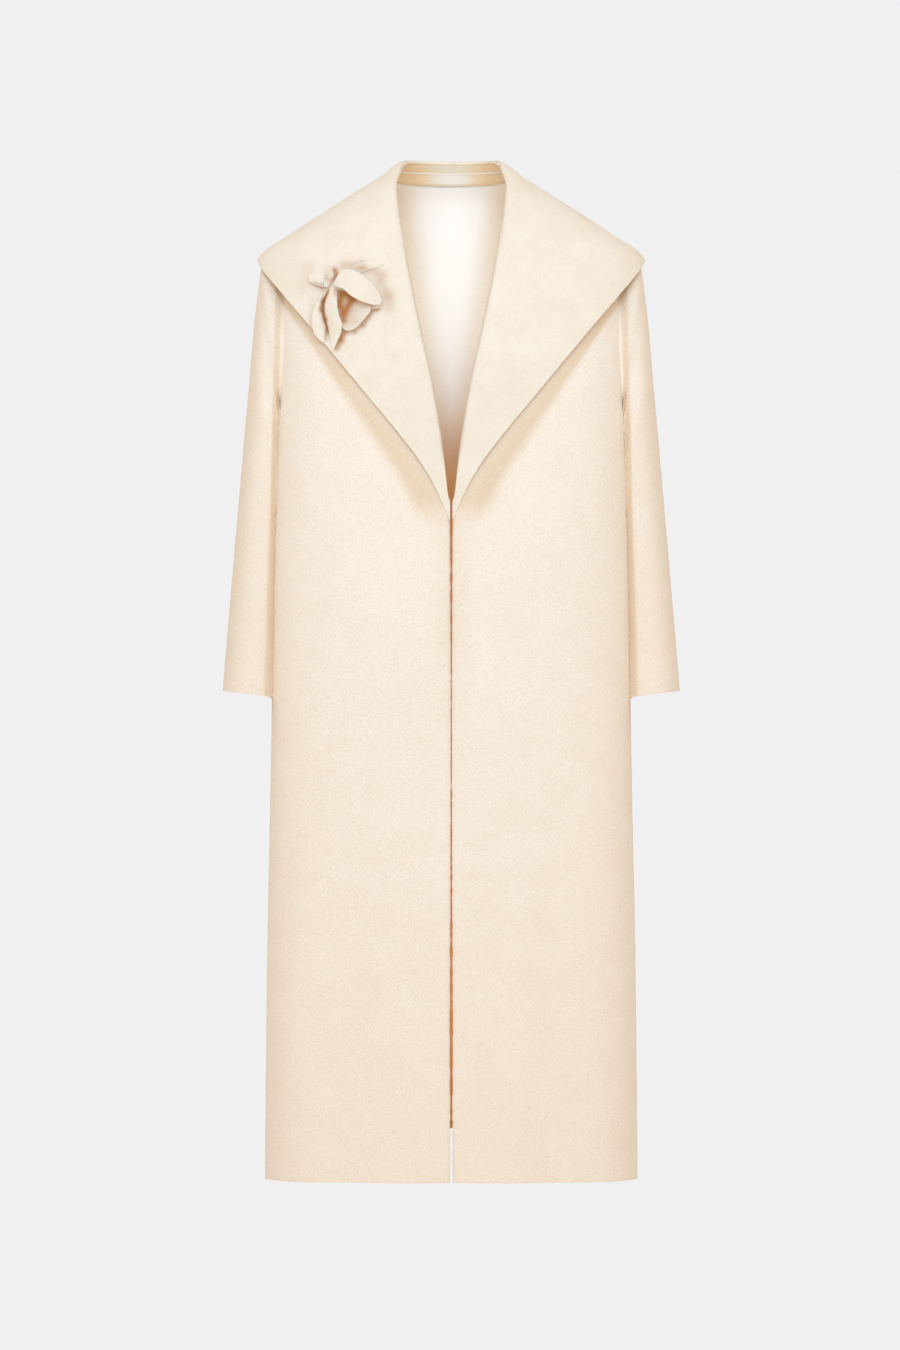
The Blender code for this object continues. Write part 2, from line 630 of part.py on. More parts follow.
def make_hook_and_eye(metal):
    inner_face = BOUCLE - float(smooth(TORSO, "front", HOOK_Z))
    middle = inner_face + 2 * SEAM + HOOK_WIRE
    turn = np.linspace(0, 2 * math.pi, 12, endpoint=False)
    loop = [(EYE_X + EYE_RADIUS * math.cos(a), middle, HOOK_Z + EYE_RADIUS * math.sin(a))
            for a in turn]
    wire("eye", loop, HOOK_WIRE, metal, cyclic=True)
    behind = middle + 2 * HOOK_WIRE + 2 * SEAM
    bend = [(-0.0075, middle), (-0.0050, middle), (-0.0020, behind), (EYE_X - 0.0008, behind),
            (EYE_X, middle + HOOK_WIRE), (EYE_X, middle - 0.4 * HOOK_WIRE)]
    wire("hook", [(x, y, HOOK_Z) for x, y in bend], HOOK_WIRE, metal)


# ---- flower ----------------------------------------------------------------------------------
def above_collar(x, z, height):
    """Points standing out from the collar's front by a height, for x and z on the coat."""
    width, square = smooth(COLLAR, "half_width", z), smooth(COLLAR, "square", z)
    inside = np.clip(1 - np.abs(x / width) ** square, 0, 1)
    y = -smooth(COLLAR, "front", z) * inside ** (1 / square) - height
    return np.stack([x, y, z], axis=-1)


def petal_grid(shape):
    """A petal spanned between its two edges, bulging or sinking between them."""
    step = np.linspace(0, 1, PETAL_STEPS + 1)[:, None]
    side = np.linspace(0, 1, PETAL_COLUMNS + 1)[None, :]
    at = {name: smooth(shape, name, step) * 1e-3 for name in list(shape)[1:]}
    x = PIN[0] + at["ax"] + (at["bx"] - at["ax"]) * side
    z = PIN[1] + at["az"] + (at["bz"] - at["az"]) * side
    height = at["ah"] + (at["bh"] - at["ah"]) * side + at["bulge"] * np.sin(math.pi * side)
    grid = above_collar(x, z, height)
    turned = np.cross(grid[0, -1] - grid[0, 0], grid[-1, 0] - grid[0, 0])
    return grid if turned[1] < 0 else grid[:, ::-1]


def make_flower(cloth, crystal):
    for name, shape in PETALS.items():
        sheet(name, petal_grid(shape), PETAL_CLOTH, cloth)
    for number, (x, z, height, radius) in enumerate(zip(*BEADS.values()), start=1):
        place = above_collar(PIN[0] + x * 1e-3, PIN[1] + z * 1e-3, height * 1e-3)
        mesh = bpy.data.meshes.new(f"bead_{number}")
        ball = bmesh.new()
        bmesh.ops.create_uvsphere(ball, u_segments=8, v_segments=6, radius=radius * 1e-3)
        ball.to_mesh(mesh)
        ball.free()
        mesh.shade_smooth()
        mesh.materials.append(crystal)
        bead = bpy.data.objects.new(f"bead_{number}", mesh)
        bead.location = place
        coat.objects.link(bead)


# ---- scene ---------------------------------------------------------------------------------
for old in list(bpy.data.objects):
    bpy.data.objects.remove(old, do_unlink=True)
coat = bpy.data.collections.new("long_coat")
bpy.context.scene.collection.children.link(coat)

boucle = material("cream_wool_boucle", (0.93, 0.82, 0.68), 0.95)
felt = material("cream_felted_wool", (0.92, 0.84, 0.72), 0.85)
satin = material("ivory_satin", (0.93, 0.90, 0.84), 0.4)
metal = material("nickel_wire", (0.62, 0.60, 0.57), 0.3, 1.0)
crystal = material("glass_bead", (0.90, 0.91, 0.92), 0.05)
make_body(boucle, satin)
make_sleeves(boucle)
make_collar(felt)
make_neck(satin)
make_hook_and_eye(metal)
make_flower(felt, crystal)
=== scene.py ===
"""A long cream edge-to-edge coat with a wide pointed collar and a cloth flower, as it is worn.

Metres, +Z up, the front faces -Y, and the origin is the middle of the neck opening. Every cloth
piece is a fine grid laid on the same smooth forms as the CAD solid that it stands for. A place
on a form is a height z and an angle phi: 0 is centre front, 90 degrees the side seam, and 180
centre back.
"""
import logging
import math
from dataclasses import dataclass
from enum import Enum

import bpy
import numpy as np
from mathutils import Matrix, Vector


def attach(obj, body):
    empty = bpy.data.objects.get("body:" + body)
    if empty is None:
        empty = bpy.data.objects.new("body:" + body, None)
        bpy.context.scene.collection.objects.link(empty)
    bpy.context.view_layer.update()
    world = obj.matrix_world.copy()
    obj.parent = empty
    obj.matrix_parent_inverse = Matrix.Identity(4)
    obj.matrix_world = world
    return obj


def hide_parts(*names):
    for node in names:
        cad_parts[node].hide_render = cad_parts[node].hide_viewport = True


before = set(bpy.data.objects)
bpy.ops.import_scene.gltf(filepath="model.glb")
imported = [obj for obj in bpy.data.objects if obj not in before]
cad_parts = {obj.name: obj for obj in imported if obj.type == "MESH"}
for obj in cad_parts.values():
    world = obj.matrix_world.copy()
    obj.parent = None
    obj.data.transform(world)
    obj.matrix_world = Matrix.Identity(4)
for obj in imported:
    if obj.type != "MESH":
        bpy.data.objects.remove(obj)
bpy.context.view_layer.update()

LOG = logging.getLogger("coat")
MM = 1e-3
# The painted shade mark: how much painted shade each point's colour gets, from 0 to 1.
PAINTED_SHADE_MARK = "hollow"    # each point's mark of how deep the cloth lies there, from 0 to 1
Array = np.ndarray
Point = tuple[float, float, float]
Node = bpy.types.Node
Tree = bpy.types.NodeTree


# ---- tables, forms and grids -----------------------------------------------------------------
class Table:
    """Named columns of numbers, joined by smooth curves; all depend on the first column."""

    def __init__(self, columns: str, *rows: tuple[float, ...]) -> None:
        """Takes the column names in one string, and the rows in any order."""
        values = np.array(rows, float).T
        order = np.argsort(values[0])
        self.names: list[str] = columns.split()
        self.columns: dict[str, Array] = {n: v[order] for n, v in zip(self.names, values)}

    @property
    def first(self) -> Array:
        """The column that the others depend on."""
        return self.columns[self.names[0]]

    def at(self, name: str, where: Array | float) -> Array:
        """Reads one column as a monotone cubic through its rows.

        Each row's slope is the weighted harmonic mean of the slopes on its two sides, or zero
        where they differ in sign, so that the curve never bulges past the table.

        Args:
            name: the column to read.
            where: values of the first column.

        Returns:
            The column's values there, held constant past the table's ends.
        """
        x, y = self.first, self.columns[name]
        step = np.diff(x)
        slope = np.diff(y) / step
        same_way = slope[:-1] * slope[1:] > 0
        near, far = step[1:] + 2 * step[:-1], 2 * step[1:] + step[:-1]
        product = np.where(same_way, slope[:-1] * slope[1:], 1.0)
        blend = (near + far) * product / (near * slope[1:] + far * slope[:-1] + ~same_way)
        tangent = np.concatenate([slope[:1], np.where(same_way, blend, 0.0), slope[-1:]])
        place = np.clip(np.asarray(where, float), x[0], x[-1])
        cell = np.clip(np.searchsorted(x, place, side="right") - 1, 0, len(x) - 2)
        t = (place - x[cell]) / step[cell]
        rise = (3 - 2 * t) * t * t
        start = t * (1 - t) ** 2 * step[cell] * tangent[cell]
        end = t * t * (t - 1) * step[cell] * tangent[cell + 1]
        return y[cell] * (1 - rise) + y[cell + 1] * rise + start + end


class Form(Table):
    """A hollow form of superellipse sections stacked in z: half width, front, back, square."""

    def points(self, z: Array | float, phi: Array | float) -> Array:
        """Points on the form: x = W r sin(phi), y = -D r cos(phi), with D the front's or back's
        depth and r = (|sin|^n + |cos|^n)^(-1/n), which makes the section a superellipse.

        Args:
            z: heights.
            phi: angles from centre front, in radians.

        Returns:
            An array of points, one for each pair of z and phi.
        """
        z, phi = np.broadcast_arrays(np.asarray(z, float), np.asarray(phi, float))
        square = self.at("square", z)
        depth = np.where(np.cos(phi) > 0, self.at("front", z), self.at("back", z))
        reach = (np.abs(np.sin(phi)) ** square + np.abs(np.cos(phi)) ** square) ** (-1 / square)
        x = self.at("half_width", z) * reach * np.sin(phi)
        return np.stack([x, -depth * reach * np.cos(phi), z], axis=-1)

    def angle_at_x(self, z: Array, x: Array) -> Array:
        """The angle at which the front of the form is x away from the middle: with the share
        s = x / W, it is arctan((s^-n - 1)^(-1/n))."""
        square = self.at("square", z)
        across = np.clip(x / self.at("half_width", z), 1e-6, 0.9999)
        return np.arctan((across ** -square - 1) ** (-1 / square))

    def front_y(self, x: Array, z: Array) -> Array:
        """The depth y of the form's front over a place x, z: -D (1 - (x / W)^n)^(1/n)."""
        square = self.at("square", z)
        inside = np.clip(1 - np.abs(x / self.at("half_width", z)) ** square, 0, 1)
        return -self.at("front", z) * inside ** (1 / square)


# The body's form, from the hem up to the neck.
TORSO = Form(
    "z       half_width front  back   square",
    (-1.275, 0.2385, 0.110, 0.106, 2.5),
    (-1.000, 0.2357, 0.111, 0.104, 2.5),
    (-0.700, 0.2297, 0.114, 0.102, 2.5),
    (-0.500, 0.2277, 0.118, 0.099, 2.6),
    (-0.340, 0.2262, 0.121, 0.105, 2.8),
    (-0.250, 0.2240, 0.121, 0.112, 3.0),
    (-0.170, 0.2215, 0.108, 0.114, 3.0),
    (-0.120, 0.2190, 0.093, 0.110, 2.9),
    (-0.086, 0.2130, 0.080, 0.103, 2.7),
    (-0.063, 0.1750, 0.072, 0.096, 2.6),
    (-0.038, 0.1345, 0.062, 0.087, 2.4),
    (-0.014, 0.0970, 0.050, 0.075, 2.2),
    (0.004, 0.0700, 0.040, 0.062, 2.0),
)

# The form that the collar's fall lies on, a little outside the body's.
COLLAR_FORM = Form(
    "z       half_width front  back   square",
    (-0.445, 0.2725, 0.1215, 0.111, 2.5),
    (-0.415, 0.2720, 0.1223, 0.112, 2.5),
    (-0.340, 0.2680, 0.1240, 0.118, 2.6),
    (-0.250, 0.2620, 0.1242, 0.123, 2.7),
    (-0.180, 0.2570, 0.1138, 0.126, 2.7),
    (-0.140, 0.2530, 0.1062, 0.124, 2.7),
    (-0.110, 0.2508, 0.1010, 0.120, 2.7),
    (-0.101, 0.2462, 0.0995, 0.119, 2.6),
    (-0.0905, 0.2362, 0.0965, 0.1175, 2.6),
    (-0.0777, 0.2157, 0.0920, 0.115, 2.6),
    (-0.0522, 0.1775, 0.0825, 0.108, 2.5),
    (-0.0266, 0.1377, 0.0705, 0.099, 2.4),
    (-0.0087, 0.1093, 0.0595, 0.090, 2.3),
    (0.0067, 0.0868, 0.0485, 0.082, 2.2),
    (0.0170, 0.0803, 0.0400, 0.077, 2.1),
    (0.0250, 0.0745, 0.0340, 0.073, 2.0),
)


def smoothstep(share: Array) -> Array:
    """An even rise from 0 to 1: 3t^2 - 2t^3, held past the ends."""
    t = np.clip(share, 0.0, 1.0)
    return t * t * (3 - 2 * t)


def bell(distance: Array, width: Array | float) -> Array:
    """A bell curve round 0: e^(-(d / width)^2)."""
    return np.exp(-((distance / width) ** 2))


def superellipse(turn: Array, square: Array | float) -> tuple[Array, Array]:
    """Up = cos(turn) and fore = sin(turn), each raised to 2 / square with its sign kept."""
    power = 2.0 / square
    up = np.sign(np.cos(turn)) * np.abs(np.cos(turn)) ** power
    fore = np.sign(np.sin(turn)) * np.abs(np.sin(turn)) ** power
    return up, fore


def normals(grid: Array) -> Array:
    """Unit normals of a grid, on the side that its faces look to."""
    across = np.cross(np.gradient(grid, axis=1), np.gradient(grid, axis=0))
    return across / np.maximum(np.linalg.norm(across, axis=-1, keepdims=True), 1e-12)


def mirrored(grid: Array) -> Array:
    """The same grid on the coat's other side, still facing outwards."""
    return (grid * (-1, 1, 1))[:, ::-1]


CELL_MIXERS = (73856093, 19349663, 83492791)    # large odd numbers with few bits in common
SEED_MIXER = 2654435761
LAST_MIXER = 1274126177


def lattice(cells: Array, seed: int) -> Array:
    """A fixed scatter of numbers from -1 to 1, one for each whole-number cell: the cell's three
    numbers and the seed are multiplied by the mixers, joined by exclusive or, and scaled."""
    a, b, c = (cells[..., axis].astype(np.int64) * CELL_MIXERS[axis] for axis in range(3))
    mixed = a ^ b ^ c ^ (seed * SEED_MIXER)
    mixed = (mixed ^ (mixed >> 13)) * LAST_MIXER
    mixed = mixed ^ (mixed >> 16)
    return (mixed & 0xFFFF) / 32767.5 - 1.0


def grain(points: Array, size: float, seed: int) -> Array:
    """Smooth uneven values from -1 to 1 over space, in lumps of one size.

    The scatter of a lattice's eight corners is blended by smoothstep weights inside each cell.

    Args:
        points: where to read it.
        size: the lumps' size in metres.
        seed: which scatter to use.

    Returns:
        One value for each point.
    """
    at = points / size
    base = np.floor(at)
    blend = smoothstep(at - base)
    total = np.zeros(points.shape[:-1])
    for corner in np.ndindex(2, 2, 2):
        weight = np.prod(np.where(np.array(corner) == 1, blend, 1 - blend), axis=-1)
        total += weight * lattice(base + corner, seed)
    return total


def along(grid: Array, axis: int) -> Array:
    """Distance from the grid's first row or column along its lines."""
    step = np.linalg.norm(np.diff(grid, axis=axis), axis=-1)
    start = np.zeros_like(np.take(step, [0], axis=axis))
    return np.concatenate([start, np.cumsum(step, axis=axis)], axis=axis)


def rolled_edge(grid: Array, distance: Array, radius: float) -> Array:
    """A grid whose edge turns softly inwards, like cloth folded over at its edge.

    At a distance d from the edge the cloth sinks by R - sqrt(R^2 - (R - d)^2), a quarter round.

    Args:
        grid: the points.
        distance: each point's distance from the edge.
        radius: R, the radius of the turn.

    Returns:
        The moved points.
    """
    inside = np.clip(radius - distance, 0, radius)
    sunk = radius - np.sqrt(np.maximum(radius ** 2 - inside ** 2, 0))
    return grid - sunk[..., None] * normals(grid)


# ---- meshes ----------------------------------------------------------------------------------
def mesh_object(name: str, points: Array, faces: Array, smooth: bool = True) -> bpy.types.Object:
    """Makes an object from points and faces that all have as many corners.

    Args:
        name: the piece's name.
        points: rows of x, y, z.
        faces: rows of point numbers.
        smooth: whether the faces are shaded smooth.

    Returns:
        The new object, linked to the scene.
    """
    corners = faces.shape[1]
    mesh = bpy.data.meshes.new(name)
    mesh.vertices.add(len(points))
    mesh.vertices.foreach_set("co", points.astype(np.float32).ravel())
    mesh.loops.add(faces.size)
    mesh.loops.foreach_set("vertex_index", faces.astype(np.int32).ravel())
    mesh.polygons.add(len(faces))
    mesh.polygons.foreach_set("loop_start", np.arange(0, faces.size, corners, dtype=np.int32))
    mesh.polygons.foreach_set("use_smooth", np.full(len(faces), smooth))
    mesh.update(calc_edges=True)
    mesh.validate()
    piece = bpy.data.objects.new(name, mesh)
    bpy.context.scene.collection.objects.link(piece)
    return piece


def grid_faces(rows: int, columns: int, closed: bool) -> Array:
    """Four-cornered faces of a grid; with closed, the last column joins the first."""
    last = columns if closed else columns - 1
    r, c = np.meshgrid(np.arange(rows - 1), np.arange(last), indexing="ij")
    ahead = (c + 1) % columns
    quad = (r * columns + c, r * columns + ahead, (r + 1) * columns + ahead,
            (r + 1) * columns + c)
    return np.stack(quad, axis=-1).reshape(-1, 4)


STEEP = 0.8        # a path that rises more than this for each metre along is framed by +Y
TUBE_END = 0.05    # the open ends of a tube shrink to this share of its radius


def tube(path: Array, radius: Array | float, sides: int = 8,
         closed: bool = False) -> tuple[Array, Array]:
    """A round tube along a path: at each place, p + R (cos a u + sin a v), where u and v are
    square to the path's direction.

    Args:
        path: rows of x, y, z.
        radius: R, one number or one for each place.
        sides: corners of the section.
        closed: whether the path is a ring.

    Returns:
        The points and the four-cornered faces; open ends are closed by shrinking to a point.
    """
    if closed:
        ahead = np.roll(path, -1, axis=0) - np.roll(path, 1, axis=0)
    else:
        ahead = np.gradient(path, axis=0)
    ahead /= np.linalg.norm(ahead, axis=-1, keepdims=True)
    up = np.where(np.abs(ahead[:, 2:]) > STEEP, (0.0, 1.0, 0.0), (0.0, 0.0, 1.0))
    u = np.cross(ahead, up)
    u /= np.linalg.norm(u, axis=-1, keepdims=True)
    v = np.cross(ahead, u)
    radius = np.broadcast_to(radius, len(path)).astype(float).copy()
    if not closed:
        path = np.concatenate([path[:1], path, path[-1:]])
        u, v = (np.concatenate([w[:1], w, w[-1:]]) for w in (u, v))
        radius = np.concatenate([[radius[0] * TUBE_END], radius, [radius[-1] * TUBE_END]])
    turn = np.linspace(0, 2 * math.pi, sides, endpoint=False)
    ring = np.cos(turn)[:, None] * u[:, None] + np.sin(turn)[:, None] * v[:, None]
    points = path[:, None] + radius[:, None, None] * ring
    faces = grid_faces(len(path), sides, True)
    if closed:
        c = np.arange(sides)
        last = (len(path) - 1) * sides
        bridge = np.stack([last + c, last + (c + 1) % sides, (c + 1) % sides, c], axis=-1)
        faces = np.concatenate([faces, bridge])
    return points.reshape(-1, 3), faces


# ---- finishes ----------------------------------------------------------------------------------
class Slot(Enum):
    """The material slots of the record."""

    BOUCLE = "cream_wool_boucle"
    FELT = "cream_felted_wool"
    IVORY = "ivory_satin"
    TAN = "tan_satin"
    WIRE = "nickel_wire"
    CRYSTAL = "glass_bead"


def linear(hex_colour: str) -> tuple[float, float, float, float]:
    """An sRGB hex colour as linear red, green, blue and alpha: c/12.92 below 0.04045, and
    ((c + 0.055) / 1.055)^2.4 above."""
    parts = [int(hex_colour.lstrip("#")[i:i + 2], 16) / 255 for i in (0, 2, 4)]
    straight = [c / 12.92 if c <= 0.04045 else ((c + 0.055) / 1.055) ** 2.4 for c in parts]
    return (*straight, 1.0)


def add_node(tree: Tree, kind: str, links: dict | None = None, **settings: object) -> Node:
    """Adds a shader node with its settings and links.

    Args:
        tree: the node tree.
        kind: the node's type, without its ShaderNode prefix.
        links: the socket to plug into each named or numbered input.
        **settings: the node's own properties, or with an underscore for each blank the default
            values of its inputs.

    Returns:
        The node.
    """
    made = tree.nodes.new("ShaderNode" + kind)
    for name, value in settings.items():
        if hasattr(made, name):
            setattr(made, name, value)
        else:
            made.inputs[name.replace("_", " ")].default_value = value
    for name, socket in (links or {}).items():
        tree.links.new(socket, made.inputs[name])
    return made


@dataclass(frozen=True)
class Finish:
    """What every finish has: a name, and the roughness and sheen set on the shader itself."""

    name: str
    roughness: float
    sheen: float = 0.0
    sheen_roughness: float = 0.5

    def start(self) -> tuple[bpy.types.Material, Tree, Node, Node]:
        """Makes the material, its Principled shader and a coordinate node.

        Returns:
            The material, its node tree, the shader and the Texture Coordinate node.
        """
        made = bpy.data.materials.new(self.name)
        made.use_nodes = True
        tree = made.node_tree
        shader = tree.nodes["Principled BSDF"]
        shader.inputs["Roughness"].default_value = self.roughness
        shader.inputs["Sheen Weight"].default_value = self.sheen
        shader.inputs["Sheen Roughness"].default_value = self.sheen_roughness
        return made, tree, shader, add_node(tree, "TexCoord")

    def with_painted_shade(self, tree: Tree, colour: Node, deep: str) -> Node:
        """Mixes in a painted shade's colour, as far as the piece's painted shade mark says.

        Args:
            tree: the node tree.
            colour: the node whose colour the open cloth keeps.
            deep: the painted shade's colour.

        Returns:
            The mixing node.
        """
        mark = add_node(tree, "Attribute", attribute_name=PAINTED_SHADE_MARK)
        mixed = add_node(tree, "Mix", {"Factor": mark.outputs["Fac"], 6: colour.outputs[2]},
                         data_type="RGBA")
        mixed.inputs[7].default_value = linear(deep)
        return mixed


@dataclass(frozen=True)
class BoucleWool(Finish):
    """Looped wool yarn woven loosely: small curls stand up all over and hide the weave, so the
    surface is matt and grainy; its colour is painted a little darker between the curls, as
    painted shade."""

    # top and hollow: the colour follows the curls' height, so hollow is painted shade low between
    # the curls.
    top: str = "#fef3e6"
    hollow: str = "#f4e4d1"
    # deep: the painted shade's colour, where the piece's painted shade mark says.
    deep: str = "#cd9c50"      # how warm and dark the cloth looks deep in a fold
    curl: float = 0.0021       # one curl of the yarn
    bent: float = 1.5          # how far the curls are bent out of true, in curls
    yarn: float = 0.0010       # the yarn's own thickness, drawn as coarse as it needs to show
    depth: float = 0.0009      # how far a curl stands up
    patch: float = 0.045       # the size of the paler and darker patches
    patchy: float = 0.08       # how much they differ

    def build(self) -> bpy.types.Material:
        """Curls are smooth round cells bent by a fine noise; their height feeds the bump, and
        mixes the colour from the hollow's, painted shade low between the curls, to the top's,
        along with the cloth's own paler and darker patches; the painted shade mark mixes on to
        the deep one, painted shade in a fold."""
        made, tree, shader, place = self.start()
        where = place.outputs["Object"]
        bend = add_node(tree, "TexNoise", {"Vector": where}, Scale=1 / (2.2 * self.curl),
                        Detail=1.0, Roughness=0.5)
        centred = add_node(tree, "VectorMath", {0: bend.outputs["Color"]},
                           operation="SUBTRACT")
        centred.inputs[1].default_value = (0.5, 0.5, 0.5)
        pushed = add_node(tree, "VectorMath", {0: centred.outputs[0]}, operation="SCALE",
                          Scale=self.bent * self.curl)
        moved = add_node(tree, "VectorMath", {0: where, 1: pushed.outputs[0]}, operation="ADD")
        cells = add_node(tree, "TexVoronoi", {"Vector": moved.outputs[0]},
                         feature="SMOOTH_F1", Scale=1 / self.curl, Smoothness=0.35)
        strand = add_node(tree, "TexNoise", {"Vector": moved.outputs[0]}, Scale=1 / self.yarn,
                          Detail=2.0, Roughness=0.6)
        crown = add_node(tree, "MapRange", {"Value": cells.outputs["Distance"]},
                         From_Min=0.75, From_Max=0.1, To_Min=0.0, To_Max=0.62)
        height = add_node(tree, "Math", {0: strand.outputs[0], 2: crown.outputs[0]},
                          operation="MULTIPLY_ADD")
        height.inputs[1].default_value = 0.5
        bump = add_node(tree, "Bump", {"Height": height.outputs[0]}, Strength=0.55,
                        Distance=self.depth)
        cloud = add_node(tree, "TexNoise", {"Vector": where}, Scale=1 / self.patch, Detail=2.0)
        uneven = add_node(tree, "MapRange", {"Value": cloud.outputs[0]}, From_Min=0.3,
                          From_Max=0.7, To_Min=-self.patchy, To_Max=self.patchy)
        lift = add_node(tree, "Math", {0: height.outputs[0], 1: uneven.outputs[0]},
                        operation="ADD", use_clamp=True)
        spread = add_node(tree, "MapRange", {"Value": lift.outputs[0]}, From_Min=0.2,
                          From_Max=0.85, To_Min=0.0, To_Max=1.0)
        # Painted shade between the curls: the colour follows their height, with the cloth's own
        # patches added.
        colour = add_node(tree, "Mix", {"Factor": spread.outputs[0]}, data_type="RGBA")
        colour.inputs[6].default_value = linear(self.hollow)
        colour.inputs[7].default_value = linear(self.top)
        # Painted shade: mixes on to deep by the piece's painted shade mark.
        colour = self.with_painted_shade(tree, colour, self.deep)
        tree.links.new(colour.outputs[2], shader.inputs["Base Color"])
        tree.links.new(bump.outputs[0], shader.inputs["Normal"])
        return made


@dataclass(frozen=True)
class FeltedWool(Finish):
    """Wool cloth fulled until its fibres mat: smooth and matt, with a fine uneven grain and a
    soft nap that lightens edges seen from the side."""

    light: str = "#f6ecde"
    shade: str = "#ecdcc6"
    # hollow: the painted shade's colour between and under the petals, and on the collar below the
    # flower.
    hollow: str = "#b4753a"    # how warm and dark the cloth looks deep between two petals
    fibre: float = 0.0014      # the matted fibres' grain, drawn as coarse as it needs to show
    depth: float = 0.00035     # how far the fibres stand up
    patch: float = 0.03        # the size of the cloth's paler and darker patches

    def build(self) -> bpy.types.Material:
        """A fine noise for the fibres and a coarse one for the cloth's unevenness; both mix the
        colour, and the fine one feeds the bump. Where the painted shade mark says, it goes on to
        the hollow's colour: painted shade between and under the petals."""
        made, tree, shader, place = self.start()
        where = place.outputs["Object"]
        fine = add_node(tree, "TexNoise", {"Vector": where}, Scale=1 / self.fibre, Detail=3.0,
                        Roughness=0.7)
        broad = add_node(tree, "TexNoise", {"Vector": where}, Scale=1 / self.patch, Detail=2.0)
        both = add_node(tree, "Math", {0: broad.outputs[0], 2: fine.outputs[0]},
                        operation="MULTIPLY_ADD")
        both.inputs[1].default_value = 0.35
        spread = add_node(tree, "MapRange", {"Value": both.outputs[0]}, From_Min=0.5,
                          From_Max=0.85)
        colour = add_node(tree, "Mix", {"Factor": spread.outputs[0]}, data_type="RGBA")
        colour.inputs[6].default_value = linear(self.shade)
        colour.inputs[7].default_value = linear(self.light)
        bump = add_node(tree, "Bump", {"Height": fine.outputs[0]}, Strength=0.5,
                        Distance=self.depth)
        # Painted shade between and under the petals, by the piece's painted shade mark.
        colour = self.with_painted_shade(tree, colour, self.hollow)
        tree.links.new(colour.outputs[2], shader.inputs["Base Color"])
        tree.links.new(bump.outputs[0], shader.inputs["Normal"])
        return made


@dataclass(frozen=True)
class Satin(Finish):
    """Satin-woven silk or acetate: long floating threads give a soft sheen across the weave,
    with faint horizontal slubs."""

    light: str = "#fbf6ee"
    shade: str = "#f0e6d8"
    thread: float = 0.0012     # thread groups, drawn as coarse as they need to show
    relief: float = 0.0002     # how far the slubs stand up
    glow: float = 0.2          # how much the weave's sheen adds
    glow_blur: float = 0.45
    # middle, fade, whole and narrowing: a painted highlight at the middle of the coat, with the
    # sides' colour as painted shade.
    middle: str = ""           # the colour at the middle of the coat, where it is another
    fade: float = 0.05         # how far from the middle that colour has gone
    whole: float = 0.004       # how far from the middle it is still whole
    narrowing: float = 0.0     # how much narrower it gets for each metre down
    # lower, lower_from and lower_to: painted shade lower down inside the coat.
    lower: str = ""            # the colour lower down, where it is another
    lower_from: float = -0.24  # the height where it starts
    lower_to: float = -0.42    # the height where it is whole

    def build(self) -> bpy.types.Material:
        """A noise stretched along the threads mixes the two colours and feeds a faint bump; the
        middle's colour, a painted highlight, and the lower colour, painted shade, are mixed in
        over it."""
        made, tree, shader, place = self.start()
        stretched = add_node(tree, "Mapping", {"Vector": place.outputs["Object"]})
        stretched.inputs["Scale"].default_value = (0.15, 0.15, 1.0)
        slub = add_node(tree, "TexNoise", {"Vector": stretched.outputs[0]},
                        Scale=1 / self.thread, Detail=2.0)
        spread = add_node(tree, "MapRange", {"Value": slub.outputs[0]}, From_Min=0.3,
                          From_Max=0.7)
        colour = add_node(tree, "Mix", {"Factor": spread.outputs[0]}, data_type="RGBA")
        colour.inputs[6].default_value = linear(self.shade)
        colour.inputs[7].default_value = linear(self.light)
        bump = add_node(tree, "Bump", {"Height": slub.outputs[0]}, Strength=0.25,
                        Distance=self.relief)
        # Painted highlight at the middle, painted shade at the sides.
        if self.middle:
            colour = self.painted_lit_middle(tree, place, colour)
        # Painted shade lower down.
        if self.lower:
            colour = self.painted_low_shade(tree, place, colour)
        shader.inputs["Coat Weight"].default_value = self.glow
        shader.inputs["Coat Roughness"].default_value = self.glow_blur
        tree.links.new(colour.outputs[2], shader.inputs["Base Color"])
        tree.links.new(bump.outputs[0], shader.inputs["Normal"])
        return made

    def painted_lit_middle(self, tree: Tree, place: Node, colour: Node) -> Node:
        """Mixes in the middle's colour, a painted highlight beside painted shade at the sides, by
        a smooth fall over |x| - narrowing z, which widens the distance from the middle with each
        step down.

        Args:
            tree: the node tree.
            place: the coordinate node.
            colour: the node whose colour the sides keep.

        Returns:
            The mixing node.
        """
        split = add_node(tree, "SeparateXYZ", {0: place.outputs["Object"]})
        away = add_node(tree, "Math", {0: split.outputs["X"]}, operation="ABSOLUTE")
        widened = add_node(tree, "Math", {0: split.outputs["Z"], 2: away.outputs[0]},
                           operation="MULTIPLY_ADD")
        widened.inputs[1].default_value = -self.narrowing
        near = add_node(tree, "MapRange", {"Value": widened.outputs[0]},
                        interpolation_type="SMOOTHSTEP", From_Min=self.fade,
                        From_Max=self.whole)
        mixed = add_node(tree, "Mix", {"Factor": near.outputs[0], 6: colour.outputs[2]},
                         data_type="RGBA")
        mixed.inputs[7].default_value = linear(self.middle)
        return mixed

    def painted_low_shade(self, tree: Tree, place: Node, colour: Node) -> Node:
        """Mixes in the lower colour, painted shade deep inside the coat, by a smooth rise over
        the height.

        Args:
            tree: the node tree.
            place: the coordinate node.
            colour: the node whose colour the upper part keeps.

        Returns:
            The mixing node.
        """
        split = add_node(tree, "SeparateXYZ", {0: place.outputs["Object"]})
        down = add_node(tree, "MapRange", {"Value": split.outputs["Z"]},
                        interpolation_type="SMOOTHSTEP", From_Min=self.lower_from,
                        From_Max=self.lower_to)
        mixed = add_node(tree, "Mix", {"Factor": down.outputs[0], 6: colour.outputs[2]},
                         data_type="RGBA")
        mixed.inputs[7].default_value = linear(self.lower)
        return mixed


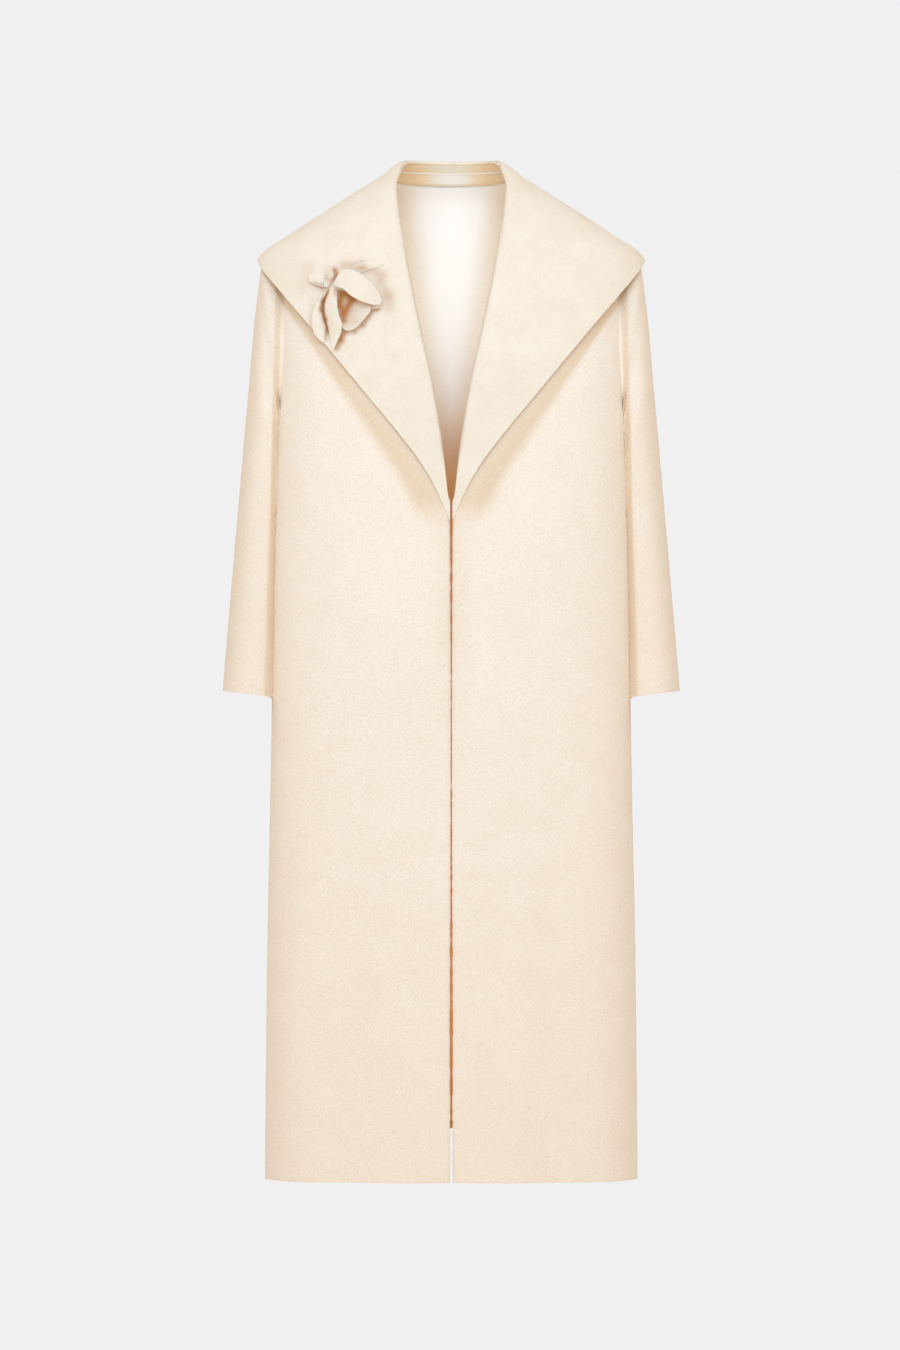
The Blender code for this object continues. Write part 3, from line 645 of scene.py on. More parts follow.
@dataclass(frozen=True)
class PlatedWire(Finish):
    """Steel wire with a nickel plating, drawn and bent: bright, with faint drawing marks."""

    metal: str = "#cfcac2"
    mark: float = 0.0006       # one drawing mark
    streaky: float = 0.08      # how much the marks change the roughness

    def build(self) -> bpy.types.Material:
        """A fine noise varies the roughness as the drawing marks do."""
        made, tree, shader, place = self.start()
        marks = add_node(tree, "TexNoise", {"Vector": place.outputs["Object"]},
                         Scale=1 / self.mark)
        rough = add_node(tree, "MapRange", {"Value": marks.outputs[0]},
                         To_Min=self.roughness - self.streaky,
                         To_Max=self.roughness + self.streaky)
        shader.inputs["Base Color"].default_value = linear(self.metal)
        shader.inputs["Metallic"].default_value = 1.0
        tree.links.new(rough.outputs[0], shader.inputs["Roughness"])
        return made


@dataclass(frozen=True)
class CutCrystal(Finish):
    """Clear lead crystal, cut in flat facets and polished, so that it sparkles white."""

    tint: str = "#ffffff"
    cloud: str = "#f2f4f6"
    cloud_size: float = 0.001
    sparkle: str = "#ffe9cf"   # the warm tint of its mirrored light
    ior: float = 1.6           # lead glass bends light more than plain glass
    clear: float = 0.35

    def build(self) -> bpy.types.Material:
        """Clear glass with a very faint cloud in it, which keeps the facets from being even."""
        made, tree, shader, place = self.start()
        cloud = add_node(tree, "TexNoise", {"Vector": place.outputs["Object"]},
                         Scale=1 / self.cloud_size)
        colour = add_node(tree, "Mix", {"Factor": cloud.outputs[0]}, data_type="RGBA")
        colour.inputs[6].default_value = linear(self.tint)
        colour.inputs[7].default_value = linear(self.cloud)
        shader.inputs["IOR"].default_value = self.ior
        shader.inputs["Transmission Weight"].default_value = self.clear
        shader.inputs["Specular Tint"].default_value = linear(self.sparkle)
        tree.links.new(colour.outputs[2], shader.inputs["Base Color"])
        return made


class Wardrobe:
    """All the finishes of the coat, each made once."""

    def __init__(self) -> None:
        """Builds the materials."""
        self.boucle = BoucleWool("boucle_wool_woven", roughness=0.95, sheen=0.25,
                                 sheen_roughness=0.6).build()
        self.felt = FeltedWool("felted_wool_pressed", roughness=0.9, sheen=0.2).build()
        # The lining's bright middle is painted light, its warmer sides painted shade under the
        # collar, and its tan lower part painted shade deep inside the coat.
        self.ivory = Satin("ivory_satin_woven", roughness=0.5, light="#f5e6d0",
                           shade="#eddcc4", middle="#fdfaf5", fade=0.077, whole=0.035,
                           narrowing=0.17, lower="#e4aa68").build()
        # The bands' paler middles are a painted satin highlight.
        self.tan_upper = Satin("tan_satin_woven_upper", roughness=0.42, light="#e6caa3",
                               shade="#d8b68b", glow=0.3, middle="#d5c6ac").build()
        self.tan_lower = Satin("tan_satin_woven_lower", roughness=0.42, light="#e7c9a0",
                               shade="#dab68a", glow=0.3, middle="#e2d9ca").build()
        self.piping = Satin("pale_satin_piping", roughness=0.45, light="#fffaf0",
                            shade="#f8eddc").build()
        # The coat's inner side is tan as painted shade, for the inside seen through the slit, the
        # open front and the cuffs.
        self.inside_shade = Satin("tan_satin_painted_inside_shade", roughness=0.6, light="#d9b78b",
                            shade="#c9a273", glow=0.1).build()
        self.wire = PlatedWire("nickel_plated_steel_wire", roughness=0.3).build()
        self.crystal = CutCrystal("cut_lead_crystal", roughness=0.10).build()


def dress(piece: bpy.types.Object, nodes: list[str], slot: Slot,
          *materials: bpy.types.Material) -> bpy.types.Object:
    """Gives a piece its materials and its place on the frame, and hides the CAD nodes that it
    stands for.

    Args:
        piece: the finished piece.
        nodes: the CAD nodes that it replaces.
        slot: the record's slot of its outer finish; not used.
        *materials: its materials; the first is on its outer side.

    Returns:
        The same piece.
    """
    for material in materials:
        piece.data.materials.append(material)
    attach(piece, "root")
    if nodes:
        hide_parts(*nodes)
    LOG.info("%s: %d faces", piece.name, len(piece.data.polygons))
    return piece


SHARP_CORNER = math.radians(50)    # a rim's corner sharper than this is rounded


def cloth(name: str, grid: Array, wall: float, closed: bool = False, lined: bool = False,
          edge: float = 0.0) -> bpy.types.Object:
    """A sheet of cloth through a grid, with its wall on the inner side and soft edges.

    Args:
        name: the piece's name.
        grid: points whose faces look outwards.
        wall: the cloth's thickness.
        closed: whether the last column joins the first.
        lined: whether the inner side has the second material.
        edge: how far the rim's corners are rounded, or 0 to leave them.

    Returns:
        The new object.
    """
    rows, columns = grid.shape[:2]
    piece = mesh_object(name, grid.reshape(-1, 3), grid_faces(rows, columns, closed))
    solidify = piece.modifiers.new("wall", "SOLIDIFY")
    solidify.thickness = wall
    solidify.offset = -1.0
    solidify.material_offset = 1 if lined else 0
    if edge:
        bevel = piece.modifiers.new("soft_edge", "BEVEL")
        bevel.width = edge
        bevel.segments = 2
        bevel.limit_method = "ANGLE"
        bevel.angle_limit = SHARP_CORNER
    return piece


def mark_painted_shade(piece: bpy.types.Object, depth: Array) -> None:
    """Stores on each point how much painted shade its colour gets, 0 to 1: painted shade in a
    fold or under an edge.
    """
    mark = piece.data.attributes.new(PAINTED_SHADE_MARK, "FLOAT", "POINT")
    mark.data.foreach_set("value", np.clip(depth, 0, 1).astype(np.float32).ravel())


# ---- body --------------------------------------------------------------------------------------
# Soft folds: each one's angle and width in degrees, its depth and where its top is.
FOLDS = Table(
    "phi     width   depth   top",
    (17.0, 8.0, 0.0020, -0.45),
    (31.0, 8.0, -0.0030, -0.42),
    (49.0, 9.0, 0.0030, -0.45),
    (70.0, 9.0, -0.0020, -0.60),
    (104.0, 10.0, -0.0030, -0.55),
    (122.0, 10.0, 0.0035, -0.45),
    (142.0, 10.0, -0.0040, -0.40),
    (163.0, 11.0, 0.0035, -0.50),
)

# Half the open front's width, from the break point up to the neck.
OPENING = Table(
    "z       half_width",
    (-0.4165, 0.0012),
    (-0.4115, 0.0032),
    (-0.3803, 0.0067),
    (-0.3428, 0.0112),
    (-0.2715, 0.0224),
    (-0.2128, 0.0350),
    (-0.1403, 0.0499),
    (-0.0864, 0.0595),
    (-0.0395, 0.0670),
    (-0.0115, 0.0696),
)

# Half the width of the slit below, where the two fronts meet edge to edge.
FRONT_GAP = Table(
    "z       half_gap",
    (-1.275, 0.0019),
    (-1.180, 0.0013),
    (-1.080, 0.0019),
    (-0.900, 0.0011),
    (-0.700, 0.0007),
    (-0.500, 0.0008),
    (-0.445, 0.0013),
    (-0.4165, 0.0012),
)


@dataclass
class Shell:
    """The coat's body: where its cloth lies, and the lines that its panels are cut on."""

    hem_front: float = -1.2705
    hem_side: float = -1.2776
    hem_back: float = -1.226
    hem_blend_top: float = -1.10
    shoulder_z: float = -0.086
    underarm_z: float = -0.332
    armhole_turn: float = math.radians(25.0)
    armhole_lap: float = math.radians(2.5)    # the panels run on this far under the sleeve
    neck_z: float = 0.002
    break_z: float = -0.4165                  # the point where the front starts to open
    break_rows: tuple[float, float] = (-0.002, 0.006)    # a panel's rows just round that point
    side_gap: float = 0.0002                  # each panel stops this far from the side seam

    def hem_height(self, phi: Array) -> Array:
        """Height of the hem: side + (middle - side) cos(phi) in front, and with cos^2(phi) at
        the back."""
        turn = np.cos(phi)
        ahead = self.hem_side + (self.hem_front - self.hem_side) * turn
        behind = self.hem_side + (self.hem_back - self.hem_side) * turn ** 2
        return np.where(turn > 0, ahead, behind)

    def fold_push(self, z: Array, phi: Array) -> Array:
        """How far the soft folds stand out: a bell curve round each fold's angle, which grows
        from nothing at its top to its full depth at the hem."""
        turn = np.degrees(np.abs(np.mod(phi + math.pi, 2 * math.pi) - math.pi))
        middle, width, depth, top = (FOLDS.columns[n] for n in FOLDS.names)
        fall = smoothstep((top - z[..., None]) / (top - self.hem_front))
        return (depth * fall * bell(turn[..., None] - middle, width)).sum(-1)

    def points(self, z: Array, phi: Array) -> Array:
        """Points of the body: the torso form, its rows bent to the hem line near the hem, with
        the folds pushed out along the level direction away from the middle."""
        z, phi = np.broadcast_arrays(np.asarray(z, float), np.asarray(phi, float))
        low = np.clip((self.hem_blend_top - z) / (self.hem_blend_top - self.hem_front), 0, None)
        z = z + low * (self.hem_height(phi) - self.hem_front)
        away = np.stack([np.sin(phi), -np.cos(phi), np.zeros_like(phi)], axis=-1)
        return TORSO.points(z, phi) + self.fold_push(z, phi)[..., None] * away

    def armhole_angle(self, z: Array) -> Array:
        """How far the armhole's edge lies from the side seam: a half ellipse over z."""
        across = np.clip((z - self.armhole_middle) / self.armhole_half, -1, 1)
        return (self.armhole_turn - self.armhole_lap) * np.sqrt(1 - across ** 2)

    @property
    def armhole_middle(self) -> float:
        """The height of the armhole's middle."""
        return (self.shoulder_z + self.underarm_z) / 2

    @property
    def armhole_half(self) -> float:
        """Half the armhole's height."""
        return (self.shoulder_z - self.underarm_z) / 2

    def rows(self, count: int) -> Array:
        """Heights of a panel's rows, with rows at the armhole's ends and the break point."""
        round_break = (self.break_z + step for step in self.break_rows)
        fixed = [self.hem_front, *round_break, self.underarm_z, self.shoulder_z, self.neck_z]
        spans = np.diff(fixed)
        counts = np.maximum(np.round(count * spans / spans.sum()).astype(int), 2)
        runs = [np.linspace(a, b, n, endpoint=False) for a, b, n in
                zip(fixed[:-1], fixed[1:], counts)]
        return np.concatenate([*runs, [self.neck_z]])

    def side_angle(self, z: Array) -> Array:
        """How far from the side seam's 90 degrees a panel stops."""
        return np.maximum(self.armhole_angle(z), np.arctan(self.side_gap / TORSO.at("front", z)))


@dataclass(frozen=True)
class ClothLumps:
    """The looped cloth's own unevenness: small lumps and broad ones."""

    height: float = 0.0004
    small: float = 0.009
    broad: float = 0.026
    small_share: float = 0.6

    def on(self, grid: Array, seed: int) -> Array:
        """The grid moved along its normals by both kinds of lumps."""
        small, broad = grain(grid, self.small, seed), grain(grid, self.broad, seed + 1)
        lump = self.small_share * small + (1 - self.small_share) * broad
        return grid + (self.height * lump)[..., None] * normals(grid)


# The painted shade of the crease in front between body and sleeve: where it runs, how dark it
# is painted, its half width.
PAINTED_CREASE_SHADE = Table(
    "z       x       deep  half",
    (-0.653, 0.2325, 0.345, 0.0054),
    (-0.539, 0.2298, 0.38, 0.0045),
    (-0.425, 0.2262, 0.41, 0.0038),
    (-0.349, 0.2240, 0.39, 0.0038),
    (-0.235, 0.2205, 0.33, 0.0038),
    (-0.159, 0.2193, 0.26, 0.0042),
)


@dataclass(frozen=True)
class PaintedCreaseShade:
    """Painted shade in the crease in front between body and sleeve, where the sleeve's inner side
    turns away.
    """

    foot_below: float = 0.022      # it starts this far below its lowest row
    foot_fade: float = 0.02
    ahead_of: float = 0.01         # it starts a little behind the side seam
    ahead_fade: float = 0.02

    def depth(self, points: Array, share: float) -> Array:
        """How much painted shade cloth gets in the crease: deep e^(-(d / half)^4) at the distance
        d from its line, as far down as the cuff.

        Args:
            points: where to read it.
            share: how much of the crease's painted shade this piece gets.

        Returns:
            A number from 0 to 1 for each point.
        """
        y, z = points[..., 1], points[..., 2]
        away = np.abs(points[..., 0]) - PAINTED_CREASE_SHADE.at("x", z)
        beside = smoothstep((z - PAINTED_CREASE_SHADE.first[0] + self.foot_below) / self.foot_fade)
        fade = np.exp(-((away / PAINTED_CREASE_SHADE.at("half", z)) ** 4))
        ahead = smoothstep((self.ahead_of - y) / self.ahead_fade)
        return share * PAINTED_CREASE_SHADE.at("deep", z) * beside * fade * ahead


@dataclass(frozen=True)
class CollarEdge:
    """The collar's slanted front edges: how far they stand out, and the painted shade below them.
    """

    slant: float = 0.76            # how far a point lies from the edge, for each metre level
    tip_z: float = -0.11
    shade_width: float = 0.025     # the shade's width where it is whole
    shade_least: float = 0.08      # its share of that at the tip
    shade_growth: float = 0.24     # how far below the tip it is whole
    shade_middle: float = 0.75     # the place over its width where it starts to fall
    shade_foot: float = -0.455     # the height where it ends
    shade_foot_fade: float = 0.05
    lift_height: float = 0.001
    lift_reach: float = 0.06       # how far in from the edge the cloth is lifted
    lift_front: float = 0.03       # the lift is whole this far in front of the side seams
    lift_growth: float = 0.12      # and this far below the tip
    lift_foot: float = -0.44       # the height where it ends
    lift_foot_fade: float = 0.10

    def shade(self, points: Array, deep: float) -> Array:
        """How much painted shade cloth gets below the edge: it grows a little away from the edge,
        then falls to nothing, over a width that grows from 2 mm at the tip to 25 mm.

        Args:
            points: where to read it.
            deep: how strong the painted shade is half way over it.

        Returns:
            A number from 0 to 1 for each point.
        """
        x, z = np.abs(points[..., 0]), points[..., 2]
        grown = np.clip((self.tip_z - z) / self.shade_growth, self.shade_least, 1)
        away = (x - COLLAR_EDGE.at("x", z)) * self.slant / (self.shade_width * grown)
        fall = 1 - smoothstep((away - self.shade_middle) / self.shade_middle)
        shade = deep * (0.8 + 0.4 * np.clip(away, 0, 1)) * fall
        return shade * smoothstep((z - self.shade_foot) / self.shade_foot_fade)

    def lift(self, points: Array) -> Array:
        """How far the collar stands out from its form, where it hangs free of the body: 1 mm
        along the edge, a bell curve in from it, and nothing at the tip, the foot or behind."""
        x, y, z = np.moveaxis(points, -1, 0)
        inside = np.clip((COLLAR_EDGE.at("x", z) - np.abs(x)) * self.slant, 0, None)
        lift = self.lift_height * bell(inside, self.lift_reach)
        lift = lift * smoothstep(-y / self.lift_front)
        lift = lift * smoothstep((self.tip_z - z) / self.lift_growth)
        return lift * smoothstep((z - self.lift_foot) / self.lift_foot_fade)


@dataclass
class Fronts:
    """The two fronts, edge to edge, from the slit to the side seams."""

    shell: Shell
    wall: float = 0.0026
    soft_rim: float = 0.0008
    columns: int = 84
    row_count: int = 330
    crowding: float = 1.12         # how much closer the columns stand towards the slit
    under_roll: float = 0.0042     # how far a front stops short of the collar's roll line
    under_fade: float = 0.03
    ragged: float = 0.35           # how unevenly the slit stands open
    ragged_size: float = 0.006
    ragged_seed: int = 15
    narrowest: float = math.radians(3.0)
    edge_radius: float = 0.0025    # the slit's edges turn in on this radius
    edge_fade: float = 0.02
    ridge: float = 0.0016          # the folded edge stands up this far beside the slit
    ridge_at: float = 0.008
    ridge_width: float = 0.005
    ridge_foot: float = -0.66      # the height where the ridge ends
    ridge_fade: float = 0.16
    lumps_seed: int = 11
    # Painted shade on the fronts: how strong it is close under the collar's edge, in the crease
    # and beside the slit.
    collar_shade: float = 0.355    # how deep the cloth lies close under the collar's edge
    crease_share: float = 0.6      # how much of the sleeve's crease is the front's
    slit_shade: float = 0.11
    slit_width: float = 0.020
    slit_foot: float = -0.80       # the height where the slit's shade ends
    slit_fade: float = 0.30

    def grid(self) -> Array:
        """The front on the +X side: shares 0 to 1 from its edge out to the side seam."""
        z = self.shell.rows(self.row_count)
        under = self.under_roll * smoothstep((z - self.shell.break_z) / self.under_fade)
        above = OPENING.at("half_width", z) + under
        level = np.stack([0 * z, 0 * z, z], axis=-1)
        uneven = 1 + self.ragged * grain(level, self.ragged_size, self.ragged_seed)
        gap = FRONT_GAP.at("half_gap", z) * uneven
        half = np.where(z > self.shell.break_z, above, gap)
        inner = TORSO.angle_at_x(z, half)
        outer = math.pi / 2 - self.shell.side_angle(z)
        inner = np.minimum(inner, outer - self.narrowest)
        share = np.linspace(0, 1, self.columns + 1) ** self.crowding
        phi = inner[:, None] + (outer - inner)[:, None] * share
        return self.shell.points(z[:, None], phi)

    def dressed_grid(self) -> Array:
        """The front with its turned edge, the soft ridge beside it and the cloth's lumps."""
        grid = self.grid()
        z = grid[..., 2]
        distance = along(grid, 1)
        below = smoothstep((self.shell.break_z - z) / self.edge_fade)
        ridge = self.ridge * bell(distance - self.ridge_at, self.ridge_width)
        ridge *= below * smoothstep((z - self.ridge_foot) / self.ridge_fade)
        grid = grid + ridge[..., None] * normals(grid)
        turned = rolled_edge(grid, distance, self.edge_radius)
        grid = np.where((below > 0)[..., None], grid + (turned - grid) * below[..., None], grid)
        return ClothLumps().on(grid, self.lumps_seed)

    def depth(self, grid: Array) -> Array:
        """How much painted shade the cloth gets: under the collar's edge, in the sleeve's crease
        and beside the slit. What each leaves unshaded is multiplied."""
        x, z = np.abs(grid[..., 0]), grid[..., 2]
        shade = CollarEdge().shade(grid, self.collar_shade)
        crease = PaintedCreaseShade().depth(grid, self.crease_share)
        slit = self.slit_shade * bell(x, self.slit_width)
        slit = slit * smoothstep((z - self.slit_foot) / self.slit_fade)
        return 1 - (1 - shade) * (1 - crease) * (1 - slit)

    def build(self, wardrobe: Wardrobe) -> list[bpy.types.Object]:
        """Makes both fronts."""
        grid = self.dressed_grid()
        made = []
        for name, node, points in (("front_right_cloth", "front_right", grid),
                                   ("front_left_cloth", "front_left", mirrored(grid))):
            piece = cloth(name, points, self.wall, lined=True, edge=self.soft_rim)
            # Painted shade, stored as the piece's painted shade mark.
            mark_painted_shade(piece, self.depth(points))
            dress(piece, [node], Slot.BOUCLE, wardrobe.boucle, wardrobe.inside_shade)
            made.append(piece)
        return made


@dataclass
class Back:
    """The back, in one piece from side seam to side seam, and its lining."""

    shell: Shell
    wall: float = 0.0026
    soft_rim: float = 0.0008
    columns: int = 130
    row_count: int = 250
    lumps_seed: int = 21
    lining_wall: float = 0.0010
    lining_gap: float = 0.0009     # the lining lies this far inside the back's cloth
    lining_columns: int = 70
    lining_rows: int = 200
    lining_short: int = 2          # it ends this many rows and columns short of the back's edges

    def grid(self, columns: int, row_count: int) -> Array:
        """The back, from the +X side seam round to the other."""
        z = self.shell.rows(row_count)
        first = math.pi / 2 + self.shell.side_angle(z)
        share = np.linspace(0, 1, columns + 1)
        phi = first[:, None] + (2 * math.pi - 2 * first)[:, None] * share
        return self.shell.points(z[:, None], phi)

    def build(self, wardrobe: Wardrobe) -> list[bpy.types.Object]:
        """Makes the back and the lining inside it."""
        grid = ClothLumps().on(self.grid(self.columns, self.row_count), self.lumps_seed)
        outer = cloth("back_cloth", grid, self.wall, lined=True, edge=self.soft_rim)
        dress(outer, ["back"], Slot.BOUCLE, wardrobe.boucle, wardrobe.inside_shade)
        plain = self.grid(self.lining_columns, self.lining_rows)
        inside = plain - (self.wall + self.lining_gap) * normals(plain)
        inside = inside[self.lining_short:, self.lining_short:-self.lining_short]
        lining = cloth("back_lining_satin", inside, self.lining_wall)
        dress(lining, ["back_lining"], Slot.IVORY, wardrobe.ivory)
        return [outer, lining]


# ---- sleeves -----------------------------------------------------------------------------------
# The sleeve's rings by their share of its length, from the armhole to the cuff.
SLEEVE = Table(
    "ring  outer_x outer_z  inner_x inner_z  centre_y half_depth square",
    (0.00, 0.2130, -0.086, 0.2264, -0.332, 0.000, 0.060, 2.2),
    (0.08, 0.2285, -0.095, 0.2290, -0.337, 0.001, 0.063, 2.6),
    (0.16, 0.2414, -0.110, 0.2310, -0.347, 0.003, 0.065, 2.6),
    (0.24, 0.2464, -0.138, 0.2320, -0.357, 0.006, 0.066, 2.5),
    (0.32, 0.2515, -0.180, 0.2325, -0.368, 0.009, 0.069, 2.4),
    (0.42, 0.2580, -0.250, 0.2320, -0.390, 0.015, 0.075, 2.4),
    (0.54, 0.2665, -0.340, 0.2310, -0.435, 0.023, 0.075, 2.4),
    (0.68, 0.2760, -0.445, 0.2310, -0.500, 0.029, 0.073, 2.3),
    (0.84, 0.2857, -0.555, 0.2315, -0.580, 0.032, 0.070, 2.3),
    (1.00, 0.2940, -0.654, 0.2325, -0.664, 0.030, 0.067, 2.3),
)


@dataclass
class Sleeves:
    """The two sleeves, each a bent tube from the armhole to a plain open cuff."""

    shell: Shell
    wall: float = 0.0016
    soft_rim: float = 0.0008
    rings: int = 190
    around: int = 150
    beside: float = 0.0005     # the sleeve lies this far from the body's side
    least_beside: float = 0.2  # but only this share of it at the armhole
    ease_share: float = 0.12   # the share of its length from which it is whole
    bite: float = 0.0010       # its nap meshes with the body's nap this deep where they touch
    tuck: float = 0.020        # the ovals' inner ends lie this far inside the body
    tuck_share: float = 0.2    # the share of its length from which that is whole
    seam_turn: float = math.radians(28.5)    # the sleeve's head laps over the armhole's edge
    seam_square: float = 2.5
    seam_sunk: float = 0.0018  # the first ring lies this deep in the body's nap
    fit_share: float = 0.30    # the share of its length over which the seam's shape is lost
    fit_power: float = 1.5
    hem_depth: float = 0.0055  # the hem's stitching shows this far above the cuff
    stitch_width: float = 0.0012
    stitch_pull: float = 0.0007
    elbow_crease: float = 0.0012
    lumps_seed: int = 31
    # Painted shade on the sleeve: a little over all of it, for the less light it gets than the
    # body, and more close under the collar's edge.
    painted_sleeve_shade: float = 0.06  # how much less light all of the sleeve gets than the body
    collar_shade: float = 0.36 # how deep the cloth lies close under the collar's edge

    def seam(self, turn: Array) -> Array:
        """The sleeve's first ring on the body: a superellipse a little outside the armhole's
        edge, half its height times up above its middle and seam_turn times fore ahead."""
        up, fore = superellipse(turn, self.seam_square)
        return self.shell.points(self.shell.armhole_middle + self.shell.armhole_half * up,
                                 math.pi / 2 - self.seam_turn * fore)

    def oval(self, ring: Array | float, turn: Array) -> Array:
        """The rings before they are fitted: superellipses from an inner end, at up = -1, to an
        outer end, at up = 1, that stand half_depth times fore ahead of their centre."""
        at = {name: SLEEVE.at(name, ring) for name in SLEEVE.names[1:]}
        up, fore = superellipse(turn, at["square"])
        inner = at["inner_x"] - self.tuck * smoothstep(np.asarray(ring) / self.tuck_share)
        x = (at["outer_x"] * (1 + up) + inner * (1 - up)) / 2
        z = (at["outer_z"] * (1 + up) + at["inner_z"] * (1 - up)) / 2
        return np.stack([x, at["centre_y"] - at["half_depth"] * fore, z], axis=-1)

    def clear_of_body(self, points: Array, gap: Array) -> Array:
        """Points moved sideways, where they must be, to lie at least gap outside the torso.

        The first moved point of each ring is put where the ring's line meets the body, so that
        the sleeve leaves it at a clean corner: at the share c / (c - d) of the step, with c and
        d the neighbour's and its own clearance.

        Args:
            points: rings of points.
            gap: the clearance of each ring.

        Returns:
            The moved points.
        """
        x, y, z = np.moveaxis(points, -1, 0)
        square = TORSO.at("square", z)
        depth = np.where(y < 0, TORSO.at("front", z), TORSO.at("back", z))
        reach = np.clip(1 - np.abs(y / depth) ** square, 0, 1) ** (1 / square)
        clear = x - (TORSO.at("half_width", z) * reach + gap)
        moved = np.stack([x - np.minimum(clear, 0), y, z], axis=-1)
        for way in (1, -1):
            beside, free = np.roll(points, way, axis=1), np.roll(clear, way, axis=1)
            share = free / np.where(free - clear > 1e-9, free - clear, 1.0)
            corner = beside + (points - beside) * share[..., None]
            moved = np.where(((clear < 0) & (free >= 0))[..., None], corner, moved)
        return moved

    def grid(self) -> Array:
        """The sleeve on the +X side: rings from the armhole to the cuff."""
        ring = np.linspace(0, 1, self.rings)[:, None]
        turn = np.linspace(0, 2 * math.pi, self.around, endpoint=False)[None, :]
        points = self.oval(ring, turn)
        fitted = np.clip(1 - ring / self.fit_share, 0, 1)[..., None] ** self.fit_power
        points = points + fitted * (self.seam(turn) - self.oval(0.0, turn))
        points[0] -= (self.seam_sunk, 0, 0)
        fore = np.abs(points[..., 1] - SLEEVE.at("centre_y", ring))
        corner = smoothstep((fore / SLEEVE.at("half_depth", ring) - 0.4) / 0.4)
        gap = self.beside * np.clip(ring / self.ease_share, self.least_beside, 1) * (1 - corner)
        gap = gap - self.bite * corner
        points[1:] = self.clear_of_body(points, gap)[1:]
        return points

    def dressed_grid(self) -> Array:
        """The sleeve with its hem's stitch line, its lumps, and at the elbow's inner front a
        ridge at 0.52 of its length above a hollow at 0.64, both slanting round the arm."""
        grid = self.grid()
        up_from_cuff = along(grid[::-1], 0)[::-1]
        stitched = bell(up_from_cuff - self.hem_depth, self.stitch_width)
        share = np.linspace(0, 1, self.rings)[:, None]
        turn = np.linspace(0, 2 * math.pi, self.around, endpoint=False)[None, :]
        crease = bell(share - 0.52 - 0.05 * np.cos(turn), 0.05)
        crease -= 0.7 * bell(share - 0.64 - 0.06 * np.cos(turn), 0.06)
        inner_front = np.clip(-np.cos(turn) + 0.6 * np.sin(turn), 0, None)
        push = -self.stitch_pull * stitched + self.elbow_crease * crease * inner_front
        return ClothLumps().on(grid + push[..., None] * normals(grid), self.lumps_seed)

    def depth(self, points: Array) -> Array:
        """How much painted shade the sleeve gets: all of it a little, more in the crease beside
        the body and in front under the collar's edge."""
        ahead = CollarEdge().shade(points, self.collar_shade) * (points[..., 1] < 0)
        crease = PaintedCreaseShade().depth(points, 1.0)
        return 1 - (1 - self.painted_sleeve_shade) * (1 - crease) * (1 - ahead)

    def build(self, wardrobe: Wardrobe) -> list[bpy.types.Object]:
        """Makes both sleeves."""
        grid = self.dressed_grid()
        made = []
        for name, node, points in (("sleeve_right_cloth", "sleeve_right", grid),
                                   ("sleeve_left_cloth", "sleeve_left", mirrored(grid))):
            piece = cloth(name, points, self.wall, closed=True, lined=True, edge=self.soft_rim)
            # Painted shade, stored as the piece's painted shade mark.
            mark_painted_shade(piece, self.depth(points))
            dress(piece, [node], Slot.BOUCLE, wardrobe.boucle, wardrobe.inside_shade)
            made.append(piece)
        return made


# ---- collar ------------------------------------------------------------------------------------
FLOWER_PIN = (-0.1498, -0.1465)    # the x and z where the flower is pinned on

# The collar's fold round the neck, from its side to centre back.
NECK_ROLL = Table(
    "step    x       y        z",
    (0.0, 0.0696, -0.0440, -0.0115),
    (0.2, 0.0670, -0.0300, 0.0000),
    (0.4, 0.0640, -0.0140, 0.0110),
    (0.6, 0.0615, 0.0080, 0.0210),
    (0.8, 0.0585, 0.0330, 0.0292),
    (1.0, 0.0400, 0.0520, 0.0318),
    (1.2, 0.0000, 0.0605, 0.0322),
)

# The collar's front edge, from its foot at the slit up to the tip.
COLLAR_EDGE = Table(
    "z       x",
    (-0.4400, 0.0022),
    (-0.4240, 0.0090),
    (-0.4060, 0.0170),
    (-0.3900, 0.0250),
    (-0.3650, 0.0405),
    (-0.3405, 0.0590),
    (-0.3150, 0.0795),
    (-0.2905, 0.1000),
    (-0.2655, 0.1205),
    (-0.2405, 0.1410),
    (-0.2155, 0.1615),
    (-0.1900, 0.1825),
    (-0.1650, 0.2035),
    (-0.1395, 0.2245),
    (-0.1190, 0.2405),
    (-0.1085, 0.2466),
)

# The collar's back edge by its angle in degrees, from the tip to centre back.
COLLAR_BACK_EDGE = Table(
    "phi     z",
    (72.0, -0.1085),
    (78.0, -0.1050),
    (86.0, -0.1015),
    (97.0, -0.1005),
    (116.0, -0.1180),
    (138.0, -0.1440),
    (160.0, -0.1560),
    (180.0, -0.1620),
)

